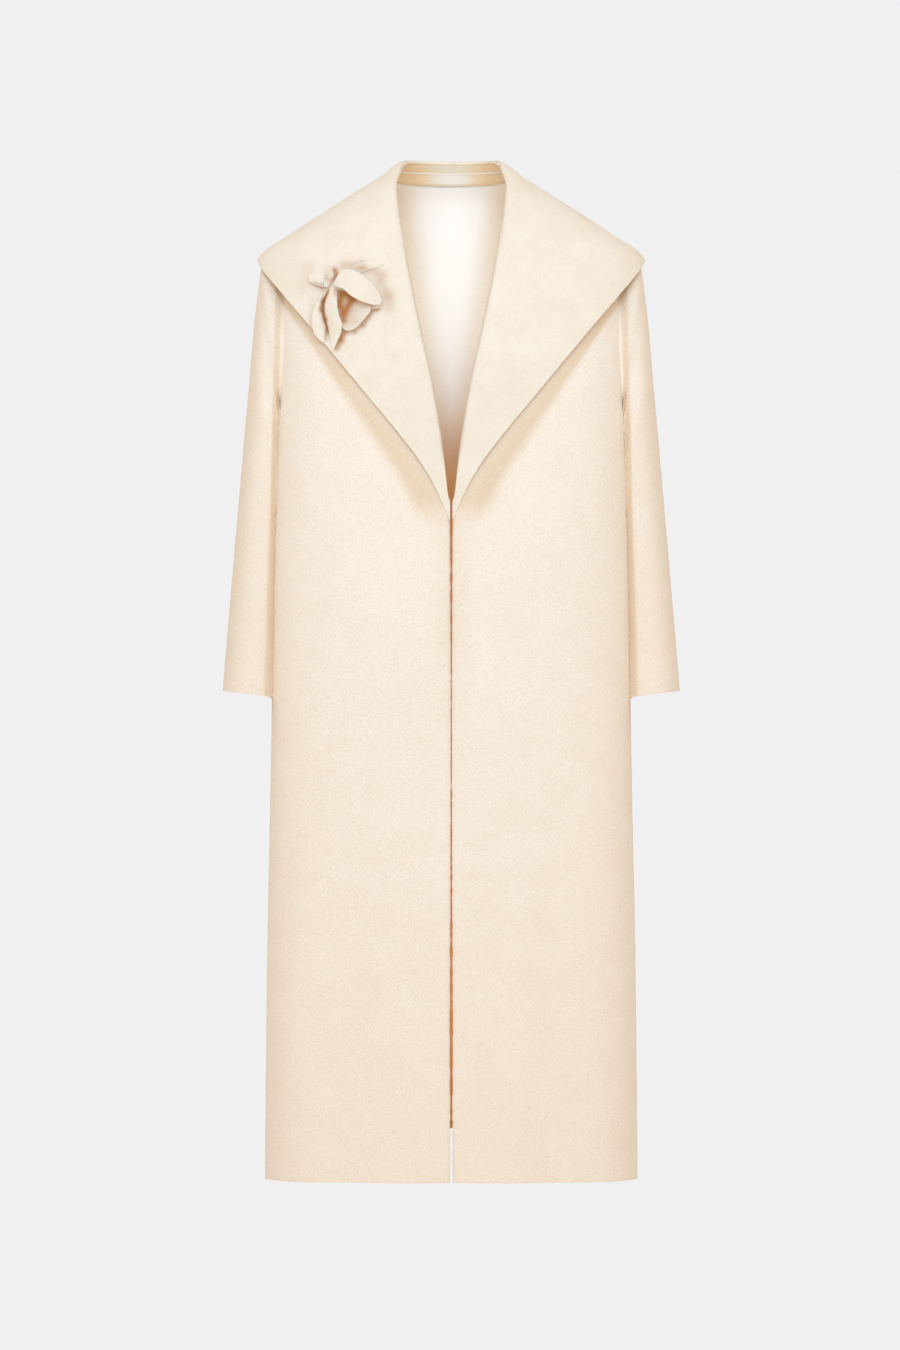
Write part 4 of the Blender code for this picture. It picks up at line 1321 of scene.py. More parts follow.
# Painted shade where the cloth lies in the flower's own shade: one stroke from x1, z1 to x2,
# z2 beside the pin, its half width and how strong its painted shade is, in millimetres and
# from 0 to 1.
STROKES = "number x1    z1     x2    z2    width deep"
CUP_SHADE = Table(
    STROKES,
    (1, 12.2, -7.8, 9.8, -23.9, 5.8, 1.0),
    (2, 12.0, -7.0, 26.5, -15.9, 4.8, 0.95),
    (3, 25.0, -16.5, 15.8, -34.7, 5.4, 0.98),
    (4, 12.5, -28.0, 15.0, -43.5, 4.6, 0.90),
    (5, 26.0, -16.0, 44.0, -25.0, 4.0, 0.30),
    (6, 20.0, -20.0, 24.0, -42.0, 12.0, 0.30),
)
LEFT_SHADE = Table(
    STROKES,
    (1, -3.0, -5.1, -10.2, -18.6, 3.8, 0.85),
    (2, -10.2, -18.6, -12.0, -29.3, 3.6, 0.85),
    (3, -12.0, -29.3, -7.5, -41.8, 3.6, 0.82),
    (4, -7.5, -41.8, -4.8, -55.3, 3.8, 0.78),
    (5, -4.8, -55.3, -7.5, -64.0, 3.2, 0.35),
)
CENTRE_SHADE = Table(
    STROKES,
    (1, -4.5, -5.1, -10.8, -18.6, 2.8, 0.85),
    (2, -10.8, -18.6, -12.0, -29.3, 3.0, 0.85),
    (3, -12.0, -29.3, -7.9, -41.8, 3.0, 0.82),
    (4, -7.9, -41.8, -5.4, -54.0, 2.4, 0.60),
    (5, 2.6, -4.0, 4.5, -12.0, 1.8, 0.50),
    (6, -3.0, -14.0, -0.5, -60.0, 6.0, 0.12),
)
TOP_SHADE = Table(
    STROKES,
    (1, 6.6, 22.0, 2.6, 9.0, 2.0, 0.55),
    (2, 4.5, 0.5, 12.0, -6.0, 1.5, 0.25),
)
BACK_SHADE = Table(
    STROKES,
    (1, 50.0, -31.5, 60.0, -30.5, 2.4, 0.80),
)
LEAF_SHADE = Table(
    STROKES,
    (1, 3.8, 21.5, 6.4, 13.5, 3.6, 0.80),
    (2, 6.0, 13.0, -0.4, 7.8, 2.8, 0.55),
    (3, 14.0, 24.0, 38.0, 23.0, 5.0, 0.34),
    (4, 38.0, 23.0, 58.0, 17.0, 6.0, 0.32),
    (5, -22.0, 5.0, -12.0, -0.5, 2.8, 0.42),
    (6, -8.0, 14.0, -3.0, 3.0, 3.0, 0.36),
    (7, -6.0, 20.0, 0.0, 10.0, 5.0, 0.22),
)
COLLAR_SHADE = Table(
    STROKES,
    (1, 3.8, 21.5, 6.4, 13.5, 3.6, 0.80),
    (2, 14.0, 27.0, 38.0, 26.0, 6.0, 0.36),
    (3, 38.0, 25.0, 62.0, 14.0, 8.0, 0.34),
    (4, 61.0, 4.0, 70.0, -12.0, 8.0, 0.28),
    (5, 70.0, -12.0, 71.0, -26.0, 8.0, 0.26),
    (6, 15.8, -57.0, 11.3, -67.8, 4.6, 0.80),
    (7, 11.3, -67.8, 6.4, -78.0, 4.2, 0.72),
    (8, 50.5, -33.0, 39.0, -50.0, 3.2, 0.55),
    (9, 39.0, -50.0, 29.0, -58.0, 3.0, 0.50),
    (10, 29.0, -58.5, 17.0, -59.0, 2.8, 0.45),
    (11, -26.0, 7.0, -11.0, -1.5, 3.6, 0.42),
    (12, -20.0, -2.0, -12.0, -6.0, 6.0, 0.16),
    (13, -24.0, -14.0, -24.5, -58.0, 5.0, 0.12),
    (14, -30.0, 28.0, -33.0, 6.0, 10.0, 0.14),
    (15, -3.0, -5.1, -10.2, -18.6, 3.8, 0.85),
    (16, -10.2, -18.6, -12.0, -29.3, 3.8, 0.88),
    (17, -12.0, -29.3, -7.9, -41.8, 3.8, 0.88),
    (18, -7.9, -41.8, -4.8, -55.3, 3.8, 0.85),
    (19, -4.8, -55.3, -8.0, -66.0, 3.2, 0.55),
    (20, 6.0, 13.0, -0.4, 7.8, 3.0, 0.60),
)


def shade_of(points: Array, strokes: Table) -> Array:
    """How much painted shade points get from strokes of it: 1 - the product of
    1 - deep e^(-(d / width)^2), where d is the distance to each stroke seen from the front.

    Args:
        points: where to read it.
        strokes: the strokes, in millimetres from the flower's pin.

    Returns:
        A number from 0 to 1 for each point.
    """
    x1, z1, x2, z2, width, deep = (strokes.columns[n] for n in strokes.names[1:])
    at = (points[..., (0, 2)] - FLOWER_PIN)[..., None, :] / MM
    start, way = np.stack([x1, z1], axis=-1), np.stack([x2 - x1, z2 - z1], axis=-1)
    share = np.clip(((at - start) * way).sum(-1) / (way ** 2).sum(-1), 0, 1)
    away = np.linalg.norm(at - start - share[..., None] * way, axis=-1)
    return 1 - np.prod(1 - deep * bell(away, width), axis=-1)


@dataclass
class Collar:
    """The two halves of the wide collar, rolled over and joined at centre back."""

    wall: float = 0.0013
    soft_rim: float = 0.0011
    back_ribs: int = 90
    front_ribs: int = 150
    roll_steps: int = 22
    fall_steps: int = 66
    roll_depth: float = 0.0045     # the roll starts this far below or behind its crest
    roll_behind: float = 0.006     # its crest in front lies this far inside the collar's form
    roll_handle: float = 0.011     # the length of the roll curve's handles
    roll_share: float = 0.45       # which are at most this share of the collar's fall
    roll_landing: float = 0.016    # the roll lands on the form this far down
    landing_share: float = 0.5     # and no further than this share of the fall
    flat_from: float = 1.80        # the share from which the roll is flattened, to the foot
    flat_over: float = 0.17
    flat_by: float = 0.85
    edge_lift: float = 0.001       # the foot of the roll ends this far above the edge's foot
    crowding: float = 1.35         # how much closer the ribs stand at the neck's side
    seam_half: float = 0.0002      # the halves meet this far from centre back
    wave: float = 0.0006           # how far the outer edge waves
    wave_size: float = 0.05
    wave_reach: float = 0.03
    wave_seed: int = 41
    lump: float = 0.00012          # how far the felt's lumps stand up
    lump_size: float = 0.006
    lump_seed: int = 42
    # The flower's painted shadows are painted on the cloth in front of this depth.
    shade_ahead_of: float = -0.05  # the flower's shade lies on the cloth in front of this

    def roll_line(self, share: Array) -> Array:
        """The fold from centre back (0) round the neck (1) and down to the break point (2)."""
        neck = NECK_ROLL.first[-1] * (1 - np.clip(share, 0, 1))
        round_neck = np.stack([NECK_ROLL.at(axis, neck) for axis in "xyz"], axis=-1)
        top, bottom = OPENING.first[-1], COLLAR_EDGE.first[0] + self.edge_lift
        z = top + (bottom - top) * np.clip(share - 1, 0, 1)
        x = OPENING.at("half_width", z)
        down = COLLAR_FORM.points(z, COLLAR_FORM.angle_at_x(z, x))
        down[..., 1] += self.roll_behind * self.taper(share)
        return np.where((share <= 1)[..., None], round_neck, down)

    def taper(self, share: Array) -> Array:
        """How full the roll is: whole, but flattened where the collar runs out at the front."""
        return 1 - self.flat_by * smoothstep((share - self.flat_from) / self.flat_over)

    def outer_edge(self, share: Array) -> tuple[Array, Array]:
        """Height and angle of the collar's outer edge, shared out like the roll line."""
        tip, middle = COLLAR_BACK_EDGE.first[0], COLLAR_BACK_EDGE.first[-1]
        behind = middle + (tip - middle) * np.clip(share, 0, 1)
        top, bottom = COLLAR_EDGE.first[-1], COLLAR_EDGE.first[0]
        z_ahead = top + (bottom - top) * np.clip(share - 1, 0, 1)
        ahead = COLLAR_FORM.angle_at_x(z_ahead, COLLAR_EDGE.at("x", z_ahead))
        back = share <= 1
        return (np.where(back, COLLAR_BACK_EDGE.at("z", behind), z_ahead),
                np.where(back, np.radians(behind), ahead))

    def ribs(self, share: Array) -> Array:
        """Ribs from inside the roll, over it and down to the collar's edge.

        The roll is a cubic curve with four handles: b0 (1-t)^3 + 3 b1 t (1-t)^2 +
        3 b2 t^2 (1-t) + b3 t^3. The fall runs evenly in z and phi over the collar's form.

        Args:
            share: where the ribs stand, from centre back (0) to the break point (2).

        Returns:
            A grid with a row for each rib.
        """
        fold = self.roll_line(share)
        x, y, z = np.moveaxis(fold, -1, 0)
        edge_z, edge_phi = self.outer_edge(share)
        on_form = np.minimum(z, COLLAR_FORM.first[-1])
        depth = np.where(y < 0, COLLAR_FORM.at("front", on_form), COLLAR_FORM.at("back", on_form))
        start = np.arctan2(np.maximum(x, 1e-6) / COLLAR_FORM.at("half_width", on_form),
                           -y / depth)
        length = np.linalg.norm(COLLAR_FORM.points(edge_z, edge_phi) - fold, axis=-1)
        landing = np.clip(self.roll_landing / length, 0, self.landing_share)[:, None]
        part = landing + (1 - landing) * np.linspace(0, 1, self.fall_steps + 1)[None, :]
        fall_z = on_form[:, None] + (edge_z - on_form)[:, None] * part
        fall = COLLAR_FORM.points(fall_z, start[:, None] + (edge_phi - start)[:, None] * part)
        fall[..., 1] -= CollarEdge().lift(fall)
        front = np.clip(share, 0, 1)[:, None]
        inward = np.concatenate([0 * front, front, front - 1], axis=1)
        inward /= np.linalg.norm(inward, axis=1, keepdims=True)
        root = fold + self.roll_depth * self.taper(share)[:, None] * inward
        reach = np.minimum(self.roll_handle, self.roll_share * length)[:, None]
        ahead = fall[:, 1] - fall[:, 0]
        ahead /= np.linalg.norm(ahead, axis=1, keepdims=True)
        handles = (root, root - reach * inward, fall[:, 0] - reach * ahead, fall[:, 0])
        t = np.linspace(0, 1, self.roll_steps, endpoint=False)[None, :, None]
        weights = ((1 - t) ** 3, 3 * t * (1 - t) ** 2, 3 * t * t * (1 - t), t ** 3)
        roll = sum(w * p[:, None, :] for w, p in zip(weights, handles))
        return np.concatenate([roll, fall], axis=1)

    def grid(self) -> Array:
        """One half, from centre back round to the break point, with the felt's lumps and a
        slight wave that dies away from its edge as e^(-d / reach)."""
        behind = 1 - (1 - np.linspace(0, 1, self.back_ribs)) ** self.crowding
        ahead = 1 + np.linspace(0, 1, self.front_ribs)[1:] ** self.crowding
        ribs = self.ribs(np.concatenate([behind, ahead]))
        ribs[0, :, 0] = self.seam_half
        to_edge = along(ribs[:, ::-1], 1)[:, ::-1]
        wave = self.wave * grain(ribs, self.wave_size, self.wave_seed)
        wave = wave * np.exp(-to_edge / self.wave_reach)
        lumps = self.lump * grain(ribs, self.lump_size, self.lump_seed)
        return ribs + (wave + lumps)[..., None] * normals(ribs[:, ::-1])[:, ::-1]

    def build(self, wardrobe: Wardrobe) -> list[bpy.types.Object]:
        """Makes both halves."""
        ribs = self.grid()
        made = []
        for name, node, points in (("collar_right_felt", "collar_right", ribs[:, ::-1]),
                                   ("collar_left_felt", "collar_left", ribs * (-1, 1, 1))):
            piece = cloth(name, points, self.wall, edge=self.soft_rim)
            # The flower's painted shadows on the collar, stored as its painted shade mark.
            in_front = points[..., 1] < self.shade_ahead_of
            mark_painted_shade(piece, shade_of(points, COLLAR_SHADE) * in_front)
            dress(piece, [node], Slot.FELT, wardrobe.felt)
            made.append(piece)
        return made


# ---- neck bands --------------------------------------------------------------------------------
# The wall of the neck hole behind, where the bands lie.
NECK_HOLE = Table(
    "z       half_width back   square",
    (-0.0040, 0.0692, 0.0565, 2.0),
    (0.0115, 0.0655, 0.0578, 2.2),
    (0.0170, 0.0628, 0.0582, 2.3),
    (0.0260, 0.0602, 0.0586, 2.4),
    (0.0300, 0.0592, 0.0586, 2.4),
)

# The upper band's top edge, by the turn from centre back in degrees.
BAND_TOP = Table(
    "turn    z",
    (0.0, 0.0283),
    (35.0, 0.0284),
    (57.0, 0.0272),
    (70.0, 0.0248),
    (80.0, 0.0222),
    (88.0, 0.0190),
)


@dataclass
class NeckBands:
    """The two satin bands inside the back neck, the pale piping between them and the collar's
    fold over the upper one."""

    wall: float = 0.0013
    soft_rim: float = 0.0004
    join: float = 0.0142           # the height of the seam between the bands at centre back
    droop: float = 0.0040          # the join runs down this far to the bands' ends
    bottom: float = 0.0002         # the height of the lower band's lower edge
    seam_half: float = 0.00015
    belly: float = 0.0006          # how far a band bulges towards the neck
    columns: int = 72
    rows: int = 10
    cord_turn: float = math.radians(84)    # how far round the cords run from centre back
    cord_places: int = 80
    piping: float = 0.0009         # radius of the piping over the join
    piping_out: float = 1.0        # how far its middle lies from the wall, in radii
    low_fold: float = 0.00144      # radius of the satin's fold under the lower band
    low_fold_below: float = 0.0010
    low_fold_out: float = -0.3
    collar_fold: float = 0.0016    # radius of the collar cloth's fold over the upper band
    collar_fold_sunk: float = 0.5  # its middle lies this far below the top, in radii
    collar_fold_out: float = 0.2

    def line(self, z: Array, turn: Array) -> Array:
        """Points of the neck hole's wall at heights z and turns from centre back."""
        power = 2.0 / NECK_HOLE.at("square", z)
        x = NECK_HOLE.at("half_width", z) * np.sign(turn) * np.abs(np.sin(turn)) ** power
        y = NECK_HOLE.at("back", z) * np.abs(np.cos(turn)) ** power
        return np.stack([x, y, z], axis=-1)

    def join_at(self, turn: Array) -> Array:
        """The height of the seam between the bands: join - droop (2 turn / pi)^2."""
        return self.join - self.droop * (2 * turn / math.pi) ** 2

    def band(self, turn: Array, low: Array, high: Array) -> Array:
        """A strip between two heights that bulges by belly sin(pi s) at its share s up."""
        share = np.linspace(0, 1, self.rows + 1)[:, None]
        z = low + (high - low) * share
        grid = self.line(z, np.broadcast_to(turn, z.shape))
        return grid + (self.belly * np.sin(math.pi * share))[..., None] * normals(grid)

    def cord(self, z: Array, turn: Array, radius: float, out: float) -> tuple[Array, Array]:
        """A cord along the neck hole's wall, its middle that many radii in from the wall."""
        path = self.line(z, turn)
        inward = path * (-1, -1, 0)
        inward /= np.linalg.norm(inward, axis=-1, keepdims=True)
        return tube(path + out * radius * inward, radius)

    def build(self, wardrobe: Wardrobe) -> list[bpy.types.Object]:
        """Makes the bands, the piping over their join and a fold at each outer edge."""
        made = []
        reach = math.radians(BAND_TOP.first[-1])
        turn = np.linspace(-reach, reach, self.columns + 1)
        join, level = self.join_at(turn), np.full_like(turn, self.bottom)
        for name, node, low, high, satin in (
            ("neck_band_upper_satin", "neck_band_upper", join + self.seam_half,
             BAND_TOP.at("z", np.degrees(np.abs(turn))), wardrobe.tan_upper),
            ("neck_band_lower_satin", "neck_band_lower", level, join - self.seam_half,
             wardrobe.tan_lower),
        ):
            strip = self.band(turn, low, high)
            piece = cloth(name, strip, self.wall, edge=self.soft_rim)
            dress(piece, [node], Slot.TAN, satin)
            made.append(piece)
        turn = np.linspace(-self.cord_turn, self.cord_turn, self.cord_places)
        low = np.full_like(turn, self.bottom - self.low_fold_below)
        top = BAND_TOP.at("z", np.degrees(np.abs(turn)))
        top = top - self.collar_fold_sunk * self.collar_fold
        for name, z, radius, out, slot, finish in (
            ("neck_band_piping", self.join_at(turn), self.piping, self.piping_out, Slot.TAN,
             wardrobe.piping),
            ("neck_band_fold", low, self.low_fold, self.low_fold_out, Slot.TAN,
             wardrobe.tan_upper),
            ("collar_fold_felt", top, self.collar_fold, self.collar_fold_out, Slot.FELT,
             wardrobe.felt),
        ):
            cord = mesh_object(name, *self.cord(z, turn, radius, out))
            made.append(dress(cord, [], slot, finish))
        return made


# ---- hook and eye ------------------------------------------------------------------------------
@dataclass
class HookAndEye:
    """The small bent-wire fastener at the foot of the open front."""

    z: float = -0.4225
    wire: float = 0.00045      # the wire's radius
    sides: int = 10
    places: int = 40
    eye_x: float = 0.0036
    eye_radius: float = 0.0022
    cloth_wall: float = 0.0026
    clear: float = 0.0006      # the wire lies this far behind the cloth, and hook behind eye
    hook_from: float = -0.0075     # the hook's shank runs between these two places
    hook_to: float = -0.0050
    hook_bend: float = -0.0020     # it has passed behind the eye here
    hook_turn: float = 0.0008      # its tip starts to turn forward this far before the eye
    tip_past: float = 0.4          # and ends this many radii in front of the eye's middle

    def build(self, wardrobe: Wardrobe) -> list[bpy.types.Object]:
        """Bends the eye as a ring, and the hook as a smooth curve through its bends."""
        middle = self.cloth_wall - float(TORSO.at("front", self.z)) + self.clear + self.wire
        turn = np.linspace(0, 2 * math.pi, self.places, endpoint=False)
        ring = np.stack([self.eye_x + self.eye_radius * np.cos(turn),
                         np.full_like(turn, middle), self.z + self.eye_radius * np.sin(turn)],
                        axis=-1)
        eye = mesh_object("eye_wire", *tube(ring, self.wire, self.sides, closed=True))
        dress(eye, ["eye"], Slot.WIRE, wardrobe.wire)
        behind = middle + 2 * self.wire + self.clear
        bend = Table(
            "step  x  y",
            (0.0, self.hook_from, middle),
            (1.0, self.hook_to, middle),
            (2.0, self.hook_bend, behind),
            (3.0, self.eye_x - self.hook_turn, behind),
            (4.0, self.eye_x, middle + self.wire),
            (5.0, self.eye_x, middle - self.tip_past * self.wire),
        )
        step = np.linspace(0, bend.first[-1], self.places)
        path = np.stack([bend.at("x", step), bend.at("y", step), np.full_like(step, self.z)],
                        axis=-1)
        hook = mesh_object("hook_wire", *tube(path, self.wire, self.sides))
        dress(hook, ["hook"], Slot.WIRE, wardrobe.wire)
        return [eye, hook]


# ---- flower ------------------------------------------------------------------------------------
# Petals by the places of their two edges a and b: x and z beside the pin and h above the
# collar, in millimetres, from the root to the tip.
PETAL_COLUMNS = "step  ax     az     ah    bx     bz     bh    bulge"
PETALS = {
    "petal_upper_left": Table(
        PETAL_COLUMNS,
        (0.00, -5.0, -1.0, 2.2, 0.0, 5.0, 2.2, 0.0),
        (0.35, -14.0, 0.0, 2.6, 2.5, 14.0, 3.2, 0.6),
        (0.70, -24.0, 4.0, 2.8, 1.0, 22.5, 3.4, 0.8),
        (0.90, -29.5, 10.0, 2.4, -9.0, 26.5, 2.8, 0.5),
        (1.00, -29.0, 15.0, 2.0, -19.0, 26.0, 2.0, 0.0),
    ),
    "petal_right": Table(
        PETAL_COLUMNS,
        (0.00, 10.0, 16.0, 1.9, 16.0, 9.0, 1.9, 0.0),
        (0.50, 36.0, 30.0, 1.6, 42.0, 19.0, 1.6, 0.3),
        (0.85, 56.0, 33.0, 1.4, 60.0, 25.0, 1.4, 0.1),
        (1.00, 64.0, 32.5, 1.3, 66.0, 29.5, 1.3, 0.0),
    ),
    "petal_left": Table(
        PETAL_COLUMNS,
        (0.00, -8.0, -5.0, 4.0, -4.0, -6.0, 4.0, 0.0),
        (0.20, -15.5, -14.0, 5.5, -9.5, -15.0, 3.0, 0.9),
        (0.40, -21.5, -25.0, 6.5, -12.8, -26.0, 2.4, 1.6),
        (0.60, -25.8, -41.0, 6.0, -10.5, -40.0, 2.2, 1.8),
        (0.80, -23.0, -57.0, 4.0, -7.5, -53.0, 2.2, 1.2),
        (0.93, -16.5, -67.0, 2.4, -8.5, -63.0, 2.0, 0.4),
        (1.00, -11.0, -71.0, 1.9, -9.0, -68.5, 1.9, 0.0),
    ),
    "petal_cup": Table(
        PETAL_COLUMNS,
        (0.00, 4.0, -4.0, 2.0, 26.0, -8.0, 4.0, -0.8),
        (0.25, 5.0, -16.0, 2.0, 44.0, -20.0, 7.0, -2.4),
        (0.50, 6.0, -30.0, 2.0, 48.5, -30.0, 9.0, -3.0),
        (0.75, 9.0, -44.0, 2.2, 38.0, -45.0, 8.0, -2.5),
        (0.92, 14.0, -53.0, 3.0, 28.0, -54.5, 5.0, -1.0),
        (1.00, 18.0, -56.3, 3.5, 22.0, -56.7, 4.0, 0.0),
    ),
    "petal_back": Table(
        PETAL_COLUMNS,
        (0.00, 40.0, -11.0, 1.8, 37.0, -18.0, 1.8, 0.0),
        (0.50, 53.0, -19.0, 2.6, 47.0, -28.0, 2.4, 0.4),
        (1.00, 62.5, -27.0, 5.0, 56.0, -32.5, 4.0, 0.6),
    ),
    "petal_centre": Table(
        PETAL_COLUMNS,
        (0.00, -2.5, -3.0, 8.6, 3.0, -1.5, 8.6, 0.0),
        (0.12, -5.5, -11.0, 8.8, 6.0, -10.0, 8.0, 0.6),
        (0.30, -8.8, -24.0, 8.5, 7.0, -24.0, 7.0, 1.4),
        (0.45, -8.5, -36.0, 8.0, 9.0, -37.0, 7.5, 1.6),
        (0.60, -5.5, -48.0, 7.2, 13.0, -49.0, 8.2, 1.5),
        (0.75, -2.5, -61.0, 5.6, 11.5, -60.0, 6.6, 1.0),
        (0.90, -0.5, -75.0, 3.2, 5.5, -73.5, 3.8, 0.4),
        (1.00, 0.2, -84.0, 1.8, 1.6, -83.0, 1.8, 0.0),
    ),
    "petal_top": Table(
        PETAL_COLUMNS,
        (0.00, 2.3, 4.0, 7.0, 3.5, -0.8, 9.2, 0.0),
        (0.20, 9.0, 16.0, 7.0, 13.0, -3.5, 14.5, 1.5),
        (0.40, 20.0, 21.5, 7.5, 25.0, -14.0, 18.0, 3.2),
        (0.60, 37.0, 15.0, 8.5, 36.0, -20.0, 19.0, 3.6),
        (0.80, 50.0, 3.5, 9.0, 46.0, -23.5, 17.0, 3.0),
        (0.93, 59.0, -9.0, 9.0, 54.0, -25.0, 13.5, 1.4),
        (1.00, 63.0, -19.0, 9.0, 61.0, -24.5, 10.5, 0.2),
    ),
}

# The beads' middles and radii, in millimetres like the petals.
BEADS = Table(
    "number x     z      h     radius",
    (1, -12.0, 5.0, 5.9, 2.2),
    (2, -8.5, 12.0, 6.0, 1.7),
    (3, -11.0, 0.4, 4.9, 1.6),
)

# Which strokes of painted shade lie on each petal.
PETAL_SHADES = {
    "petal_upper_left": LEAF_SHADE,
    "petal_right": LEAF_SHADE,
    "petal_left": LEFT_SHADE,
    "petal_cup": CUP_SHADE,
    "petal_back": BACK_SHADE,
    "petal_centre": CENTRE_SHADE,
    "petal_top": TOP_SHADE,
}


@dataclass
class Flower:
    """The cloth flower on the left collar: seven felt petals and three cut beads."""

    pin: tuple[float, float] = FLOWER_PIN
    wall: float = 0.0012
    soft_rim: float = 0.0004
    steps: int = 44
    across: int = 30
    ripple: float = 0.0005         # how far a petal's edges ripple
    ripple_size: float = 0.010
    first_seed: int = 50
    bead_corners: int = 8
    bead_tilts: tuple[float, ...] = (-90.0, -62.0, -32.0, 0.0, 32.0, 62.0, 90.0)
    pole: float = 0.02             # the small flat at a bead's two ends, in radii

    def above_collar(self, x: Array, z: Array, height: Array) -> Array:
        """Points standing out from the collar's front by a height."""
        on_collar = np.stack([x, COLLAR_FORM.front_y(x, z), z], axis=-1)
        on_collar[..., 1] -= CollarEdge().lift(on_collar) + height
        return on_collar

    def petal(self, shape: Table, seed: int) -> Array:
        """A petal between its two edges a and b: a + (b - a) s, raised by bulge sin(pi s), with
        a slight ripple along the edges."""
        step = np.linspace(0, 1, self.steps + 1)[:, None]
        side = np.linspace(0, 1, self.across + 1)[None, :]
        at = {name: shape.at(name, step) * MM for name in shape.names[1:]}
        x = self.pin[0] + at["ax"] + (at["bx"] - at["ax"]) * side
        z = self.pin[1] + at["az"] + (at["bz"] - at["az"]) * side
        height = at["ah"] + (at["bh"] - at["ah"]) * side + at["bulge"] * np.sin(math.pi * side)
        grid = self.above_collar(x, z, height)
        edge = np.abs(2 * side - 1) ** 3 * np.sin(math.pi * np.clip(step, 0.05, 0.95))
        grid[..., 1] -= self.ripple * edge * grain(grid, self.ripple_size, seed)
        turned = np.cross(grid[0, -1] - grid[0, 0], grid[-1, 0] - grid[0, 0])
        return grid if turned[1] < 0 else grid[:, ::-1]

    def build(self, wardrobe: Wardrobe) -> list[bpy.types.Object]:
        """Makes the petals and the beads."""
        made = []
        for seed, (node, shape) in enumerate(PETALS.items()):
            grid = self.petal(shape, self.first_seed + seed)
            piece = cloth(node + "_felt", grid, self.wall, edge=self.soft_rim)
            # Painted shade between and under the petals, stored as each petal's painted shade
            # mark.
            mark_painted_shade(piece, shade_of(grid, PETAL_SHADES[node]))
            dress(piece, [node], Slot.FELT, wardrobe.felt)
            made.append(piece)
        for number, x, z, h, radius in zip(*(BEADS.columns[n] for n in BEADS.names)):
            x, z, h, radius = (np.array(v) * MM for v in (x, z, h, radius))
            centre = self.above_collar(self.pin[0] + x, self.pin[1] + z, h)
            points, faces = self.cut_bead(float(radius))
            bead = mesh_object(f"bead_{int(number)}_crystal", points + centre, faces,
                               smooth=False)
            dress(bead, [f"bead_{int(number)}"], Slot.CRYSTAL, wardrobe.crystal)
            made.append(bead)
        return made

    def cut_bead(self, radius: float) -> tuple[Array, Array]:
        """A faceted ball: rings of corners at R cos(tilt), every other ring turned by half a
        facet."""
        tilt = np.radians(self.bead_tilts)[:, None]
        rings, corners = len(tilt), self.bead_corners
        turn = np.linspace(0, 2 * math.pi, corners, endpoint=False)[None, :]
        turn = turn + math.pi / corners * (np.arange(rings)[:, None] % 2)
        rim = np.maximum(np.cos(tilt), self.pole)
        points = radius * np.stack([rim * np.cos(turn), rim * np.sin(turn),
                                    np.sin(tilt) + 0 * turn], axis=-1)
        return points.reshape(-1, 3), grid_faces(rings, corners, True)


# ---- studio ------------------------------------------------------------------------------------
@dataclass(frozen=True)
class Softbox:
    """An area light that looks at a point and isn't seen itself."""

    name: str
    at: Point
    aim: Point
    power: float
    colour: str
    width: float
    height: float = 0.0        # 0 where it is as high as wide

    def hang(self) -> None:
        """Puts the light in the scene, turned towards its aim."""
        light = bpy.data.lights.new(self.name, "AREA")
        light.energy = self.power
        light.size = self.width
        if self.height:
            light.shape = "RECTANGLE"
            light.size_y = self.height
        light.color = linear(self.colour)[:3]
        lamp = bpy.data.objects.new(self.name, light)
        lamp.location = self.at
        lamp.visible_camera = False
        way = Vector(self.aim) - Vector(self.at)
        lamp.rotation_euler = way.to_track_quat("-Z", "Y").to_euler()
        bpy.context.scene.collection.objects.link(lamp)


LIGHTS = (
    Softbox("key_softbox", at=(-0.07, -2.0, 0.40), aim=(0.0, -0.1, -0.45), power=28.5,
            colour="#badeff", width=2.0),
    Softbox("neck_light", at=(0.0, -0.075, -0.158), aim=(0.0, 0.1, -0.173), power=0.166,
            colour="#f8fffb", width=0.08, height=0.19),
    Softbox("body_light", at=(0.0, -0.05, -0.80), aim=(0.0, 0.1, -0.80), power=0.31,
            colour="#fff0dc", width=0.05, height=0.75),
)


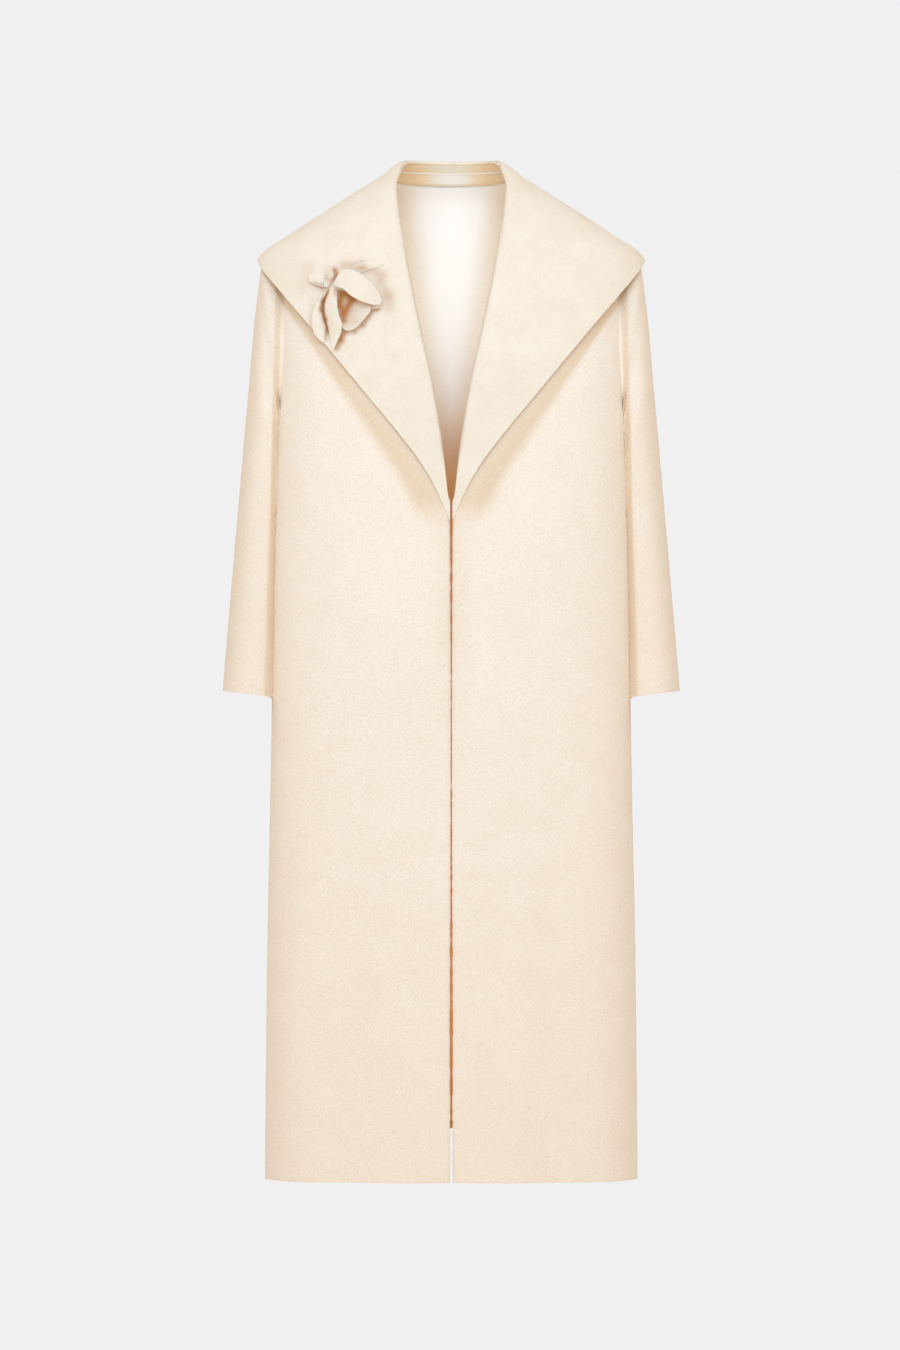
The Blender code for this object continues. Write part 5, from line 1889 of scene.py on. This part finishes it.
@dataclass
class Studio:
    """A pale seamless studio with soft light from the front, and the camera."""

    paper: str = "#f0f0f0"
    camera_at: Point = (-0.0016, -5.121, -0.634)
    lens: float = 106.7
    sensor: float = 36.0
    clip_end: float = 50.0
    floor_z: float = -1.2802
    floor_radii: Point = (0.001, 1.0, 12.0)
    floor_corners: int = 64
    from_behind: tuple[float, ...] = (0.67, 0.595, 0.50, 1.0)
    from_front: tuple[float, ...] = (0.84, 0.74, 0.62, 1.0)
    front: Point = (0.0, -0.95, 0.30)

    def build(self) -> None:
        """Makes the world, the floor, the lights and the camera."""
        scene = bpy.context.scene
        scene.view_settings.view_transform = "Standard"
        scene.world = self.room()
        self.floor()
        for light in LIGHTS:
            light.hang()
        camera = bpy.data.cameras.new("camera")
        camera.lens = self.lens
        camera.sensor_width = self.sensor
        camera.clip_end = self.clip_end
        stand = bpy.data.objects.new("camera", camera)
        stand.location = self.camera_at
        stand.rotation_euler = (math.pi / 2, 0.0, 0.0)
        scene.collection.objects.link(stand)
        scene.camera = stand

    def room(self) -> bpy.types.World:
        """Pale paper all round to look at, and a warm soft light from it on the coat, which
        rises evenly from behind and below to the front and above."""
        world = bpy.data.worlds.new("studio_paper")
        world.use_nodes = True
        tree = world.node_tree
        way = add_node(tree, "TexCoord")
        ahead = add_node(tree, "VectorMath", {0: way.outputs["Generated"]},
                         operation="DOT_PRODUCT")
        ahead.inputs[1].default_value = self.front
        rise = add_node(tree, "MapRange", {"Value": ahead.outputs["Value"]}, From_Min=-1.0,
                        From_Max=1.0)
        glow = add_node(tree, "Mix", {"Factor": rise.outputs[0]}, data_type="RGBA")
        glow.inputs[6].default_value = self.from_behind
        glow.inputs[7].default_value = self.from_front
        seen = add_node(tree, "LightPath")
        colour = add_node(tree, "Mix", {"Factor": seen.outputs["Is Camera Ray"],
                                        6: glow.outputs[2]}, data_type="RGBA")
        colour.inputs[7].default_value = linear(self.paper)
        tree.links.new(colour.outputs[2], tree.nodes["Background"].inputs[0])
        return world

    def floor(self) -> None:
        """A round pale floor that glows evenly like the paper behind it."""
        turn = np.linspace(0, 2 * math.pi, self.floor_corners, endpoint=False)
        radius = np.array(self.floor_radii)[:, None]
        points = np.stack([radius * np.cos(turn), radius * np.sin(turn),
                           self.floor_z + 0 * radius * turn], axis=-1)
        floor = mesh_object("studio_floor", points.reshape(-1, 3),
                            grid_faces(len(radius), self.floor_corners, True))
        paper = bpy.data.materials.new("studio_floor_paper")
        paper.use_nodes = True
        shader = paper.node_tree.nodes["Principled BSDF"]
        shader.inputs["Base Color"].default_value = (0.0, 0.0, 0.0, 1.0)
        shader.inputs["Specular IOR Level"].default_value = 0.0
        shader.inputs["Emission Color"].default_value = linear(self.paper)
        shader.inputs["Emission Strength"].default_value = 1.0
        floor.data.materials.append(paper)
        floor.visible_diffuse = floor.visible_glossy = floor.visible_shadow = False


def main() -> None:
    """Builds the coat's pieces in the order in which they are put on."""
    logging.basicConfig(level=logging.INFO, format="%(message)s")
    wardrobe = Wardrobe()
    shell = Shell()
    for part in (Back(shell), Fronts(shell), Sleeves(shell), Collar(), NeckBands(),
                 HookAndEye(), Flower()):
        made = part.build(wardrobe)
        LOG.info("%s: %d pieces", type(part).__name__, len(made))
    Studio().build()


if __name__ == "__main__":
    main()
